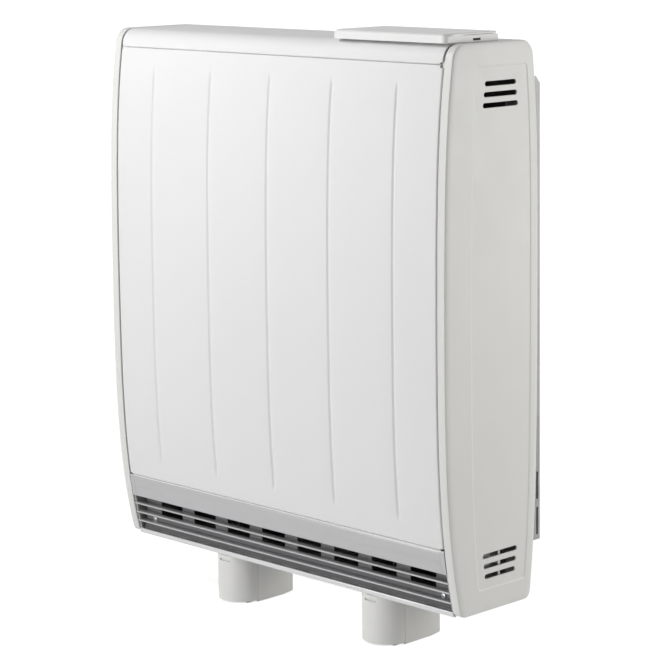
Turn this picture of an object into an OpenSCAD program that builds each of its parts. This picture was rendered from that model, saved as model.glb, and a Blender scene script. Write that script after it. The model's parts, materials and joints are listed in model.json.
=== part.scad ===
// Fan-assisted storage heater: a barrel-fronted steel casing between two moulded end caps,
// with a stack of storage bricks, sheathed elements, a crossflow fan and a mixing flap inside.
// Millimetres. +X is the heater's right, -Y its front and +Z up. The origin is on the floor,
// midway across the width and the depth.

/* [Casing] */
// Width over both end caps
body_w = 580; // [576:1:620]
// Height from the floor to the top of the end caps
body_top = 719; // [716:1:740]
// Height of the underside of the end caps above the floor
foot_h = 62; // [56:1:64]
// Depth from the fullest point of the front to the wall
overall_d = 185; // [182:1:210]
// Depth of the end caps at their fullest
case_d = 160; // [157:1:168]
// Thickness of the steel sheet
sheet = 1.2; // [0.8:0.1:1.4]
// Gap left between neighbouring panels
clear = 0.3; // [0.2:0.05:0.4]

/* [Barrel profile] */
// Height of the fullest point of the front
bulge_z = 414; // [400:1:430]
// Fall of the gentle curve of the front towards its ends
front_bow = 6.3; // [5:0.1:7]
// Further tuck of the front close to the top and the bottom
front_tuck = 15.4; // [13:0.1:16]
// Fall of the gentle curve of the back edge towards its ends
rear_bow = 2; // [1:0.5:3]
// Further tuck of the back edge close to the top
rear_tuck = 13.5; // [11:0.5:15]
// Further tuck of the back edge close to the bottom
rear_tuck_low = 8; // [6:0.5:9]
// Radius of the top corners of the casing, seen from the side
corner_r = 20; // [15:1:22]
// Radius of its bottom corners
corner_low_r = 10; // [8:1:14]
// Straight steps along the height of a curved skin
skin_steps = 26; // [16:1:36]

/* [End caps] */
// Width of the strip of end cap seen beside the front panel
strip_w = 13.4; // [11:0.1:16]
// Wall of the moulding
cap_wall = 2.5; // [2:0.1:3]
// Radius of the soft edge round the outer face
cap_edge_r = 5; // [3:0.5:6]
// Depth of the shallow field on the outer face
field_depth = 0.8; // [0.4:0.1:1.2]
// Distance of the field from the front of the cap at its fullest
field_front = 44; // [38:1:48]
// Distance of the field from the back of the cap at its fullest
field_rear = 14; // [12:1:18]
// Distance of the field from the top and bottom of the cap
field_end = 27; // [24:1:32]
// Height of one vent slot
slot_h = 5.6; // [4.6:0.1:6]
// Distance from one vent slot to the next
slot_pitch = 12.2; // [11:0.1:13]
// Length of the longest vent slot
slot_l = 59.5; // [52:0.5:62]
// How much shorter each further slot is
slot_step = 3.4; // [1:0.1:5]
// Distance of the top vent's first slot below the top of the cap
vent_top_drop = 46.5; // [44:0.5:52]
// Distance of the bottom vent's last slot above the bottom of the cap
vent_bottom_rise = 41.5; // [38:0.5:46]

/* [Front panels] */
// Height of the lower edge of the front panel above the cap's underside
panel_rise = 81; // [78:1:84]
// Distance of the seam with the top panel below the top
seam_drop = 23; // [20:1:25]
// Gap between the top panel and each end cap
top_gap = 2.3; // [0.5:0.1:2.6]
// Width of the small cut in each top corner of the front panel
cut_w = 4.5; // [2:0.5:6]
// Height of the small cut in each top corner of the front panel
cut_h = 3; // [1:0.5:4]
// Number of pressed grooves
grooves = 5; // [3:1:6]
// Width of a pressed groove
groove_w = 3; // [2:0.2:4]
// Depth of a pressed groove
groove_d = 0.8; // [0.4:0.1:0.9]
// Length of panel left plain above the grooves
groove_margin_top = 22.6; // [18:0.2:30]
// Length of panel left plain below the grooves
groove_margin_bottom = 26.6; // [20:0.2:34]

/* [Outlet] */
// Thickness of the grille frame
grille_t = 2.5; // [2:0.1:3]
// Plain band of the grille above its opening
grille_band = 29; // [27:0.5:31]
// Plain strip of the grille below its opening
grille_sill = 6.5; // [5:0.5:8]
// Thickness of the cheek at each end of the grille
grille_side = 2.4; // [2:0.1:8]
// Number of fins across the opening
fins = 3; // [2:1:4]
// Height of a fin
fin_t = 2.4; // [1.6:0.1:2.8]
// Depth of a fin
fin_d = 7; // [5:0.5:8]
// Number of punched holes in a row of the baffle
baffle_holes = 8; // [6:1:8]
// Width of the web between two punched holes
baffle_web = 22.4; // [18:0.2:28]
// Height of a punched hole
baffle_hole_h = 8.3; // [6:0.1:8.6]
// Plain end of the baffle beside its last hole
baffle_end = 29.9; // [25:0.1:35]
// Distance of the baffle behind the fullest point of the front
baffle_back = 35.5; // [35:0.5:37]

/* [Feet] */
// Width of a foot cover
foot_w = 60; // [58:1:66]
// Depth of a foot cover
foot_d = 92; // [88:1:96]
// Distance between the centres of the feet
foot_gap = 256; // [240:1:280]
// Shift of both feet to the right of the casing's middle
foot_shift = 14; // [0:1:20]
// Distance of the front of a foot behind the fullest point of the front
foot_back = 27; // [25:0.5:31]
// Height of the foot's round front above the floor
foot_rise = 2; // [1:0.5:3]
// Wall of a foot cover
foot_wall = 2.5; // [2:0.1:3]
// Radius of the screw holes in the foot plates
floor_hole_r = 3.5; // [2.5:0.1:4]

/* [Control unit] */
// Width of the control unit
unit_w = 177; // [174:1:182]
// Height of the control unit above the top panel
unit_h = 11; // [10.6:0.1:12]
// Depth of the lid from front to back
lid_d = 90; // [88:1:94]
// Depth of the lid's full-height nose
nose_d = 30; // [28:1:32]
// Thickness of the lid
lid_t = 2.4; // [2:0.1:2.6]
// Radius of a button
button_r = 4.6; // [4:0.1:5]
// Distance from one button to the next
button_pitch = 17; // [14:0.5:18]
// Travel of a button
button_travel = 0.8; // [0.5:0.1:0.9]

/* [Core] */
// Rows of storage bricks
brick_rows = 6; // [6:1:6]
// Width of a brick
brick_w = 184; // [176:1:186]
// Depth of a brick
brick_d = 72; // [68:1:74]
// Height of a brick
brick_h = 82; // [78:0.5:82.5]
// Thickness of the insulation in front of and behind the bricks
slab_d = 25; // [22:0.5:25]
// Thickness of the insulation at the ends of the core
slab_w = 30; // [28:0.5:34]
// Thickness of the insulation under the bricks
slab_h = 28; // [26:0.5:29]
// Radius of an element's sheath
sheath_r = 4; // [3.5:0.1:4.2]
// Distance between the two legs of an element
leg_gap = 40; // [36:1:42]
// Distance of the top of the core's casing below the top of the end caps
casing_drop = 21; // [19:0.5:26]

/* [Fan and flap] */
// Radius of the crossflow impeller
impeller_r = 19; // [17:0.5:19.5]
// Length of the crossflow impeller
impeller_l = 270; // [240:1:275]
// Number of impeller blades
blades = 24; // [18:1:28]
// Radius of the fan shaft
shaft_r = 3; // [2.5:0.1:3.5]
// Running clearance of a shaft in its bush
running = 0.05; // [0.02:0.01:0.08]
// Gap between an end of the mixing flap and the side of the duct
flap_gap = 12; // [4:0.5:30]
// Reach of the mixing flap forward of its rod
flap_d = 34; // [28:1:36]
// Radius of the flap's rod
rod_r = 2; // [1.5:0.1:2.5]

/* [Back] */
// Width of the return along the wall on each side of the back
wall_return = 15; // [12:1:20]
// Height of the lower end of the back's flanges above the cap's underside
flange_rise = 61.5; // [58:0.5:66]
// Distance of their upper end below the top
flange_drop = 44; // [40:1:50]
// Height of the lowest lifting slot above the lower end of a flange
lift_slot_rise = 23; // [20:1:30]
// Distance from one lifting slot to the next
lift_slot_pitch = 43; // [38:1:50]
// Length of a lifting slot
lift_slot_l = 34; // [28:1:36]
// Radius of the wall screw holes
wall_hole_r = 3.3; // [2.5:0.1:4]
// Distance between the wall screw holes
wall_hole_gap = 300; // [260:1:340]
// Radius of the supply cable's entry
entry_r = 5; // [4:0.1:6]

/* [Hidden] */

// Casing
front_y = -overall_d / 2;
wall_y = overall_d / 2;
rear_y = front_y + case_d;
half_w = body_w / 2;
inner_w = half_w - strip_w;          // inner edge of each end cap
panel_x = inner_w - clear;           // ends of the panels between the caps
half_h = (body_top - foot_h) / 2;
panel_z = foot_h + panel_rise;
seam_z = body_top - seam_drop;
top_x = inner_w - top_gap;           // ends of the top panel
top_back = rear_y - 26;              // back edge of the top panel
grille_z = foot_h - 0.8;
lip_back = 3.5;                      // spigot's reach behind the skins
spigot_in = 14;                      // spigot's reach inwards from the cap
fold_d = 9;                          // folded edges of the panels
fold_x = inner_w - spigot_in - clear; // ends of the folds that pass between the spigots
field_mid = (front_y + field_front + rear_y - field_rear) / 2 - 1.4;
lug_rise = 98;                       // lowest lug above the cap's underside
lug_drop = 79;                       // highest lug below its top
lug_z = [foot_h + lug_rise, (foot_h + lug_rise + body_top - lug_drop) / 2, body_top - lug_drop];
lug_x = inner_w - 9;                 // screws that hold the caps to the back panel
hole_r = 2;                          // clearance hole for a screw
screw_r = 1.9;

// Base, shelf and back
pan_z = foot_h + sheet;              // underside of the base pan
pan_top = pan_z + sheet;
pan_front = front_y + 32.5;
pan_back = rear_y - 23.5;            // back edge of the base pan's floor
back_z = foot_h + 31;                // height where the pan's sloped back meets the back panel
web_y = rear_y - 12.5;               // front face of the back panel's web
shelf_z = 141;                       // top of the shelf that carries the core
shelf_top = shelf_z + sheet;
shelf_x = panel_x - 14;
casing_top = body_top - casing_drop;

// Core
brick_gap = 0.2;
core_y = web_y - slab_d - brick_d / 2;
core_x = -20;                        // middle of the core, left of the casing's middle
brick_z = shelf_top + slab_h;
core_top = brick_z + brick_rows * brick_h;
casing_l = core_x - brick_w - slab_w;
casing_r = core_x + brick_w + slab_w;
cover_y = core_y - brick_d / 2 - slab_d;
groove_r = sheath_r + 0.6;
legs = [core_y - leg_gap / 2, core_y + leg_gap / 2];
element_rows = [1, 3, 5];            // elements lie on top of these rows
stud_x = casing_r + sheet + 12;
stud_r = 1.8;
bush_r = 8;
sensor_z = brick_z + (brick_rows - 1.5) * brick_h;
sensor_r = 3;

// Electronics beside the core
plate_x = casing_r + sheet + 26;         // inner face of the plate that carries the boards
plate_z = [brick_z + 20, core_top - 60];
loom_z = brick_z + 2.5 * brick_h;        // height where the wires pass through the plate
board_rise = 30;                         // power board above the wires' holes
board_h = 160;
board_end = [loom_z + board_rise, loom_z + board_rise + board_h];
block_drop = 50;                         // terminal block below the wires' holes
block_top = loom_z - block_drop;
wire_r = 1.4;

// Outlet and fan
baffle_y = front_y + baffle_back;
baffle_x = panel_x - 4;              // ends of the baffle
baffle_pitch = (2 * (baffle_x - baffle_end) + baffle_web) / baffle_holes;
baffle_hole_w = baffle_pitch - baffle_web;
baffle_z = pan_top + 11;             // bend between the baffle's wall and its slope
open_top = panel_z - clear - grille_band;
open_bottom = grille_z + grille_sill;
fin_gap = (open_top - open_bottom - fins * fin_t) / (fins + 1);
grille_fit = 0.1;                    // play of the clipped bars between the grille's cheeks
cheek_back = 2;                      // set-back of the cheeks behind the skin
band_plain = 5;                      // length at each end of the band that has no lip
band_step = 1.4;                     // set-back lip along the top of the grille's band
duct_x = panel_x - 28;
duct_z = pan_top + 5.4;
duct_top = shelf_z - 22;
duct_slot_l = 140;                   // openings behind the duct's front that feed warm air in
duct_slot_gap = 220;
duct_back = baffle_y + 58;
fan_x = -20;
fan_y = duct_back + clear + impeller_r + 5;
fan_z = (duct_z + duct_top) / 2 - 1;
scroll_r = impeller_r + 2;
fan_end = impeller_l / 2 + 2;        // inner faces of the fan's end plates
plate_t = 3;
nose_r = 6;                          // bush and motor nose in the end plates
flap_y = duct_back - 13;
flap_z = duct_top - sheet - rod_r - 3.5;
baffle_screw_x = panel_x - 21.8;
baffle_screw_z = baffle_z + 6;

// Control unit
unit_right = inner_w;
unit_left = unit_right - unit_w;
unit_mid = (unit_left + unit_right) / 2;
unit_z = body_top + 0.2;
unit_top = body_top + unit_h;
lid_front = front_y + 15.5;
lid_back = lid_front + lid_d;
base_front = lid_front + nose_d + clear;
hinge_z = unit_top - lid_t - 3;
hinge_y = lid_back - 3.6;
base_rear = hinge_y + 2.3;
base_h = hinge_z + 2.6 - unit_z;
deck_z = unit_z + 5.6;               // underside of the deck that holds the buttons
deck_t = 1.2;
board_z = unit_z + 1.2;
pin_r = 1;
knuckle_x = [unit_left + 26, unit_right - 26];
knuckle_l = 10;
button_x = unit_right - 22;
button_y = base_front + 24;
button_places = [for (k = [0:3]) [button_x - k * button_pitch, button_y + 8],
                 [button_x - 1.5 * button_pitch, button_y - 9]];
mat_x = [button_x - 3.8 * button_pitch, button_x + 0.8 * button_pitch];
window_x = [unit_left + 16, mat_x[0] - 10.4];
window_y = [base_front + 9, base_front + 41];
cable_x = unit_mid + 40;             // cable that leads down through the top panel
cable_y = base_front + 12;

// Back
entry_x = panel_x - 46;
entry_z = back_z + 20;
bracket_arm_x = wall_hole_gap / 2 + 60;
bracket_drop = 99;                   // middle of the wall bracket below the top
bracket_z = body_top - bracket_drop;

// Feet
foot_r = foot_w / 2;
foot_front = front_y + foot_back;
foot_x = [foot_shift - foot_gap / 2, foot_shift + foot_gap / 2];
cover_h = grille_z - clear;          // top of a foot cover, under the grille's sill
leg_w = 48;
leg_t = 3;
leg_plate_y = [foot_front + foot_r - sqrt(pow(foot_r - foot_wall - clear, 2) - pow(leg_w / 2, 2)),
               foot_front + foot_d - foot_wall - clear - leg_t / 2];
leg_y = [leg_plate_y[0] + 8, leg_plate_y[1] - 11];
leg_screw_x = leg_w / 2 - 8;
floor_y = leg_plate_y[0] + 22;       // line of the floor screw holes
floor_hole_x = 15;

function heights(z0, z1, n = skin_steps) = [for (i = [0:n]) z0 + (z1 - z0) * i / n];
function bulge(z) = (z - bulge_z) / half_h;
function front_at(z) = front_y + front_bow * pow(bulge(z), 2) + front_tuck * pow(bulge(z), 4);
function rear_pull(z) = z > bulge_z ? rear_tuck : rear_tuck_low;
function rear_at(z) = rear_y - rear_bow * pow(bulge(z), 2) - rear_pull(z) * pow(bulge(z), 4);

// The front (side -1) or back (side 1) of the outline, and its slope.
function edge_at(side, z) = side < 0 ? front_at(z) : rear_at(z);
function edge_slope(side, z) = side < 0
  ? (2 * front_bow * bulge(z) + 4 * front_tuck * pow(bulge(z), 3)) / half_h
  : -(2 * rear_bow * bulge(z) + 4 * rear_pull(z) * pow(bulge(z), 3)) / half_h;

// Radius and end height of the corners at the top (end 1) or at the bottom (end -1).
function round_r(end) = end > 0 ? corner_r : corner_low_r;
function end_z(end) = end > 0 ? body_top : foot_h;

// Height at which the arc of a corner meets the side, found in a few steps.
function touch_z(side, end, tries = 5) =
  let (r = round_r(end), middle = end_z(end) - end * r)
  tries == 0 ? middle : middle - side * r * sin(atan(edge_slope(side, touch_z(side, end, tries - 1))));

// Points of a corner, from the side to the level end.
function corner_points(side, end, steps = 10) =
  let (r = round_r(end),
       z = touch_z(side, end),
       lean = atan(edge_slope(side, z)),
       middle = [edge_at(side, z) - side * r * cos(lean), end_z(end) - end * r],
       from = atan2(z - middle[1], edge_at(side, z) - middle[0]))
  [for (i = [0:steps]) let (a = from + (end * 90 - from) * i / steps) middle + r * [cos(a), sin(a)]];
function turned_round(points) = [for (i = [len(points) - 1:-1:0]) points[i]];
function inner_heights(z0, z1) = [for (i = [1:skin_steps - 1]) z0 + (z1 - z0) * i / skin_steps];
outline = concat(
  [for (z = inner_heights(touch_z(-1, -1), touch_z(-1, 1))) [front_at(z), z]],
  corner_points(-1, 1), turned_round(corner_points(1, 1)),
  [for (z = inner_heights(touch_z(1, 1), touch_z(1, -1))) [rear_at(z), z]],
  corner_points(1, -1), turned_round(corner_points(-1, -1)));

// Extrudes a shape drawn as (y, z) from x0 to x1.
module along_x(x0, x1) {
  translate([x0, 0, 0]) rotate([90, 0, 90]) linear_extrude(x1 - x0) children();
}

module block(x, y, z) {
  translate([x[0], y[0], z[0]]) cube([x[1] - x[0], y[1] - y[0], z[1] - z[0]]);
}

module rod_x(x0, x1, y, z, r) {
  translate([x0, y, z]) rotate([0, 90, 0]) cylinder(h = x1 - x0, r = r, $fn = 48);
}

module rod_y(y0, y1, x, z, r) {
  translate([x, y0, z]) rotate([-90, 0, 0]) cylinder(h = y1 - y0, r = r, $fn = 48);
}

module rod_z(z0, z1, x, y, r) {
  translate([x, y, z0]) cylinder(h = z1 - z0, r = r, $fn = 48);
}

// Side outline of the casing, drawn as (y, z) and drawn in by the inset.
module side_outline(inset = 0) {
  offset(delta = -inset) polygon(outline);
}

// Strip of the front skin between two heights, from one depth behind it to another.
module skin_strip(z0, z1, d0, d1, n = skin_steps) {
  polygon(concat(
    [for (z = heights(z0, z1, n)) [front_at(z) + d0, z]],
    [for (z = heights(z1, z0, n)) [front_at(z) + d1, z]]));
}

module slot_shape(l, h) {
  for (s = [-1, 1]) translate([s * (l - h) / 2, 0]) circle(d = h, $fn = 32);
  square([l - h, h], center = true);
}

// Both vents of a cap, drawn as (y, z).
module vents(n = 3) {
  vent_y = field_mid;
  for (k = [0:n - 1]) {
    translate([vent_y, body_top - vent_top_drop - k * slot_pitch])
      slot_shape(slot_l - (n - 1 - k) * slot_step, slot_h);
    translate([vent_y, foot_h + vent_bottom_rise + k * slot_pitch])
      slot_shape(slot_l - (n - 1 - k) * slot_step, slot_h);
  }
}

// Shallow field of a cap's outer face, drawn as (y, z).
module field_shape() {
  offset(r = 3, $fn = 24) offset(delta = -3)
    polygon(concat(
      [for (z = heights(foot_h + field_end, body_top - field_end, 14))
        [front_y + field_front + 0.6 * (front_at(z) - front_y), z]],
      [for (z = heights(body_top - field_end, foot_h + field_end, 14))
        [rear_at(z) - field_rear, z]]));
}

// One end cap as a shell open towards the casing, on the right-hand side.
module cap_shell() {
  difference() {
    hull() for (a = [0:22.5:90])
      along_x(inner_w, half_w - cap_edge_r * (1 - sin(a))) side_outline(cap_edge_r * (1 - cos(a)));
    along_x(inner_w - 1, half_w - cap_wall) side_outline(cap_wall);
    along_x(half_w - field_depth, half_w + 1) field_shape();
    along_x(half_w - cap_wall - 1, half_w + 1) vents();
  }
}

// Spigot that seats the front and top panels, and the lugs for the screws at the back.
module cap_fixings() {
  along_x(inner_w - spigot_in, half_w - cap_wall) intersection() {
    difference() {
      side_outline(sheet + clear);
      side_outline(lip_back);
    }
    translate([front_y - 1, panel_z + 14]) square([top_back - 2 - front_y, body_top]);
  }
  for (z = lug_z) difference() {
    block([inner_w - 18, half_w - cap_wall], [web_y - 12, web_y], [z - 7, z + 7]);
    rod_y(web_y - 10, web_y + 1, lug_x, z, hole_r);
  }
}

module right_end_cap() {
  color("whitesmoke") {
    cap_shell();
    cap_fixings();
  }
}

module left_end_cap() {
  color("whitesmoke") mirror([1, 0, 0]) {
    cap_shell();
    cap_fixings();
  }
}

// Bowed front panel with pressed grooves and folded top and bottom edges.
module front_panel() {
  z0 = panel_z;
  z1 = seam_z - clear / 2;
  groove_gap = 2 * panel_x / (grooves + 0.3);
  groove_z = [z0 + groove_margin_bottom, z1 - groove_margin_top];
  color("white") difference() {
    union() {
      along_x(-panel_x, panel_x) skin_strip(z0, z1, 0, sheet);
      along_x(-fold_x, fold_x) {
        translate([front_at(z0) + sheet / 2, z0]) square([fold_d, sheet]);
        translate([front_at(z1) + sheet / 2, z1 - sheet]) square([fold_d, sheet]);
      }
      for (k = [0:grooves - 1]) {
        x = (k - (grooves - 1) / 2) * groove_gap;
        along_x(x - groove_w, x + groove_w)
          skin_strip(groove_z[0], groove_z[1], sheet / 2, sheet + groove_d);
      }
    }
    for (k = [0:grooves - 1]) {
      x = (k - (grooves - 1) / 2) * groove_gap;
      along_x(x - groove_w / 2, x + groove_w / 2)
        skin_strip(groove_z[0] + 2, groove_z[1] - 2, -1, groove_d);
    }
    for (s = [-1, 1])
      translate([s * panel_x, front_at(z1), z1]) cube([2 * cut_w, 12, 2 * cut_h], center = true);
  }
}

// Top panel: it starts at the seam, rolls over the top front corner and folds down at the back.
module top_panel() {
  color("white") difference() {
    union() {
      along_x(-top_x, top_x) {
        intersection() {
          difference() {
            side_outline();
            side_outline(sheet);
          }
          translate([front_y - 1, seam_z + clear / 2]) square([top_back - front_y + 1, body_top]);
        }
        intersection() {
          side_outline(sheet / 2);
          translate([top_back - sheet, body_top - 13]) square([sheet, 13]);
        }
      }
      along_x(-fold_x, fold_x)
        translate([front_at(seam_z) + sheet / 2, seam_z + clear / 2]) square([fold_d, sheet]);
    }
    rod_z(body_top - 5, body_top + 1, cable_x, cable_y, 7);
  }
}

// Outlet grille: a band, fins and a sill that clip in between two thin cheeks.
module outlet_grille() {
  z1 = panel_z - clear;
  bar_x = panel_x - grille_side - grille_fit; // ends of the band, the fins and the sill
  band_x = bar_x - band_plain;
  color("silver") {
    for (s = [-1, 1])
      along_x(s * panel_x - max(0, s) * grille_side, s * panel_x - min(0, s) * grille_side)
        skin_strip(grille_z, z1, cheek_back, cheek_back + grille_t, 10);
    for (x = [-bar_x, band_x]) along_x(x, x + band_plain)
      skin_strip(open_top, z1, 0, grille_t, 5);
    along_x(-bar_x, bar_x) {
      skin_strip(open_top, z1 - band_step, 0, grille_t, 5);
      skin_strip(z1 - band_step - 0.5, z1, 0.8, grille_t, 1);
      skin_strip(grille_z, open_bottom, 0, grille_t, 2);
      for (k = [0:fins - 1]) {
        z = open_bottom + fin_gap + fin_t / 2 + k * (fin_gap + fin_t);
        translate([front_at(z) + fin_t / 2 + 0.2, z]) circle(d = fin_t, $fn = 32);
        translate([front_at(z) + fin_t / 2 + 0.2, z - fin_t / 2]) square([fin_d, fin_t]);
      }
    }
  }
}

// Punched baffle behind the grille, with a slope down to the sill.
module outlet_baffle() {
  sill_y = pan_front - 1.2;
  color("darkgray") difference() {
    along_x(-baffle_x, baffle_x) {
      polygon([[baffle_y, duct_top], [baffle_y + 1, duct_top], [baffle_y + 1, baffle_z],
               [sill_y + 1, pan_top + 5.2], [sill_y, pan_top + 5.2], [baffle_y, baffle_z + 0.4]]);
    }
    for (row = [0:1], k = [0:baffle_holes - 1]) {
      x = (k - (baffle_holes - 1) / 2) * baffle_pitch;
      z = open_top - 9 - row * (fin_gap + fin_t);
      block([x - baffle_hole_w / 2, x + baffle_hole_w / 2], [baffle_y - 1, baffle_y + 2],
            [z - baffle_hole_h / 2, z + baffle_hole_h / 2]);
    }
    for (s = [-1, 1]) rod_y(baffle_y - 1, baffle_y + 2, s * baffle_screw_x, baffle_screw_z, hole_r);
  }
}

// Duct that carries the mixed air from the fan to the baffle.
module outlet_duct() {
  y0 = baffle_y + 1;
  color("gainsboro") difference() {
    union() {
      block([-duct_x, duct_x], [y0, duct_back], [duct_z, duct_top]);
      block([-duct_x - 13, duct_x + 13], [y0, y0 + sheet], [duct_z, duct_top]);
      for (x = [-duct_x * 0.8, duct_x * 0.8])
        block([x - 8, x + 8], [y0 + 8, duct_back - 8], [pan_top, duct_z + 0.5]);
    }
    block([sheet - duct_x, duct_x - sheet], [y0 - 1, duct_back + 1],
          [duct_z + sheet, duct_top - sheet]);
    rod_x(-duct_x - 1, duct_x + 1, flap_y, flap_z, rod_r + running);
    for (s = [-1, 1]) rod_y(y0 - 1, y0 + 2, s * baffle_screw_x, baffle_screw_z, hole_r);
    for (x = [-1, 1] * duct_slot_gap / 2)
      block([x - duct_slot_l / 2, x + duct_slot_l / 2], [duct_back - 9, duct_back - 3],
            [duct_top - 2, duct_top + 1]);
  }
}

// Base pan with intake louvres under the fan, a front lip and a back that slopes up to the web.
module base_pan() {
  color("lightsteelblue") difference() {
    union() {
      block([-panel_x, panel_x], [pan_front, pan_back], [pan_z, pan_top]);
      block([-panel_x, panel_x], [pan_front, pan_front + sheet], [pan_z, pan_top + 4]);
      along_x(-panel_x, panel_x)
        polygon([[pan_back - sheet, pan_z], [pan_back, pan_z],
                 [web_y - clear, back_z - 6], [web_y - clear, back_z + 6],
                 [web_y - clear - sheet, back_z + 6], [web_y - clear - sheet, back_z - 6]]);
    }
    for (k = [-4:4])
      translate([fan_x + k * 15, fan_y, pan_z - 1]) linear_extrude(4) rotate(90) slot_shape(24, 6);
    for (x = foot_x, s = [-1, 1], t = [0, 1])
      rod_z(pan_z - 1, pan_top + 1, x + s * leg_screw_x, leg_y[t], hole_r);
  }
}

// Shelf on two end plates that carries the core above the fan and the duct.
module core_shelf() {
  color("lightgray") difference() {
    union() {
      block([-shelf_x, shelf_x], [cover_y, web_y - clear], [shelf_z, shelf_top]);
      for (x = [-shelf_x, shelf_x])
        block([x - sheet / 2, x + sheet / 2], [cover_y + 12, pan_back - 3], [pan_top, shelf_top]);
    }
    air_slots(shelf_z - 1, shelf_top + 1);
    rod_z(shelf_z - 1, shelf_top + 1, casing_r + 40, core_y, 9);
    for (s = [-1, 1]) rod_x(s * shelf_x - 2, s * shelf_x + 2, pan_back - 14, pan_top + 48, 5);
  }
}

// Air slots through the shelf and the insulation under the bricks.
module air_slots(z0, z1) {
  for (x = [core_x - brick_w / 2, core_x + brick_w / 2])
    block([x - 55, x + 55], [core_y - 5, core_y + 5], [z0, z1]);
}

// Back panel: a web behind the insulation, flanges that stand it off the wall, and returns.
module rear_panel() {
  flange_z = [foot_h + flange_rise, body_top - flange_drop];
  color("silver") difference() {
    union() {
      block([-panel_x, panel_x], [web_y, web_y + sheet], [back_z - 4, body_top - 13]);
      block([-panel_x, panel_x], [top_back + clear, web_y + sheet],
            [body_top - 13 - clear - sheet, body_top - 13 - clear]);
      for (s = [-1, 1]) {
        along_x(s * (panel_x - sheet / 2) - sheet / 2, s * (panel_x - sheet / 2) + sheet / 2)
          polygon([[web_y, flange_z[0]], [wall_y, flange_z[0]], [wall_y, flange_z[1] - 8],
                   [wall_y - 8, flange_z[1]], [web_y, flange_z[1]]]);
        translate([s * (panel_x - wall_return / 2), 0, 0])
          block([-wall_return / 2, wall_return / 2], [wall_y - sheet, wall_y],
                [flange_z[0], flange_z[1] - 8]);
      }
    }
    for (s = [-1, 1], k = [0, 1])
      translate([s * panel_x, wall_y - wall_return / 2,
                 flange_z[0] + lift_slot_rise + k * lift_slot_pitch]) rotate([90, 0, 90])
        linear_extrude(4, center = true) rotate(90) slot_shape(lift_slot_l, 4);
    rod_y(web_y - 1, web_y + 3, entry_x, entry_z, entry_r + 2);
    for (s = [-1, 1], z = lug_z) rod_y(web_y - 1, web_y + 3, s * lug_x, z, hole_r);
    for (s = [-1, 1]) rod_y(web_y - 1, web_y + 3, s * bracket_arm_x, bracket_z, hole_r);
  }
}

// Wall bracket: a strip along the wall with an arm at each end that reaches the back panel.
module wall_bracket() {
  x = bracket_arm_x;
  y0 = web_y + sheet;
  color("silver") difference() {
    union() {
      block([-x, x], [wall_y - 2, wall_y], [bracket_z - 22, bracket_z + 22]);
      for (s = [-1, 1]) {
        block([s * (x - 14) - 1, s * (x - 14) + 1], [y0, wall_y], [bracket_z - 18, bracket_z + 18]);
        block([s * x - 15, s * x + 15], [y0, y0 + 2], [bracket_z - 18, bracket_z + 18]);
      }
    }
    for (s = [-1, 1]) {
      rod_y(wall_y - 3, wall_y + 1, s * wall_hole_gap / 2, bracket_z, wall_hole_r);
      rod_y(y0 - 1, y0 + 3, s * x, bracket_z, hole_r);
    }
    for (s = [-1, 0, 1])
      translate([s * wall_hole_gap / 4, wall_y + 1, bracket_z]) rotate([90, 0, 0])
        linear_extrude(4) slot_shape(40, 12);
  }
}

// Steel casing round the insulation: two sides and a top that stand on the shelf.
module core_casing() {
  color("lightgray") difference() {
    block([casing_l - sheet, casing_r + sheet], [cover_y, web_y - clear], [shelf_top, casing_top]);
    block([casing_l, casing_r], [cover_y - 1, web_y + 1], [shelf_top - 1, casing_top - sheet]);
    for (row = element_rows, y = legs)
      rod_x(casing_r - 1, casing_r + 3, y, brick_z + row * brick_h, bush_r);
    rod_x(casing_r - 1, casing_r + 3, core_y, sensor_z, sensor_r);
  }
}

// Cover over the front insulation, stiffened by pressed ribs.
module inner_front_cover() {
  color("lightgray") {
    block([casing_l - sheet, casing_r + sheet], [cover_y - sheet, cover_y], [shelf_z, casing_top]);
    for (k = [1:5]) {
      z = shelf_z + k * (casing_top - shelf_z) / 6;
      along_x(casing_l + 20, casing_r - 20)
        polygon([[cover_y - sheet, z - 7], [cover_y - sheet, z + 7],
                 [cover_y - 3.2, z + 4], [cover_y - 3.2, z - 4]]);
    }
  }
}

module front_insulation() {
  color("tan")
    block([casing_l, casing_r], [cover_y, cover_y + slab_d], [shelf_top, casing_top - sheet]);
}

module rear_insulation() {
  color("tan")
    block([casing_l, casing_r], [web_y - slab_d, web_y - clear], [shelf_top, casing_top - sheet]);
}

// Insulation at the left end, with a pocket for the bend of each element.
module left_insulation() {
  color("tan") difference() {
    block([casing_l, casing_l + slab_w], [cover_y + slab_d, web_y - slab_d],
          [shelf_top, casing_top - sheet]);
    for (row = element_rows)
      block([casing_l + 3, casing_l + slab_w + 1], [legs[0] - groove_r - 1, legs[1] + groove_r + 1],
            [brick_z + row * brick_h - groove_r, brick_z + row * brick_h + groove_r]);
  }
}

// Insulation at the right end, which the element legs and the sensor pass through.
module right_insulation() {
  color("tan") difference() {
    block([casing_r - slab_w, casing_r], [cover_y + slab_d, web_y - slab_d],
          [shelf_top, casing_top - sheet]);
    for (row = element_rows, y = legs)
      rod_x(casing_r - slab_w - 1, casing_r + 1, y, brick_z + row * brick_h, bush_r);
    rod_x(casing_r - slab_w - 1, casing_r + 1, core_y, sensor_z, sensor_r);
  }
}

module top_insulation() {
  color("tan")
    block([core_x - brick_w, core_x + brick_w], [cover_y + slab_d, web_y - slab_d],
          [core_top, casing_top - sheet]);
}

module base_insulation() {
  color("tan") difference() {
    block([core_x - brick_w, core_x + brick_w], [cover_y + slab_d, web_y - slab_d],
          [shelf_top, brick_z]);
    air_slots(shelf_top - 1, brick_z + 1);
  }
}

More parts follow.
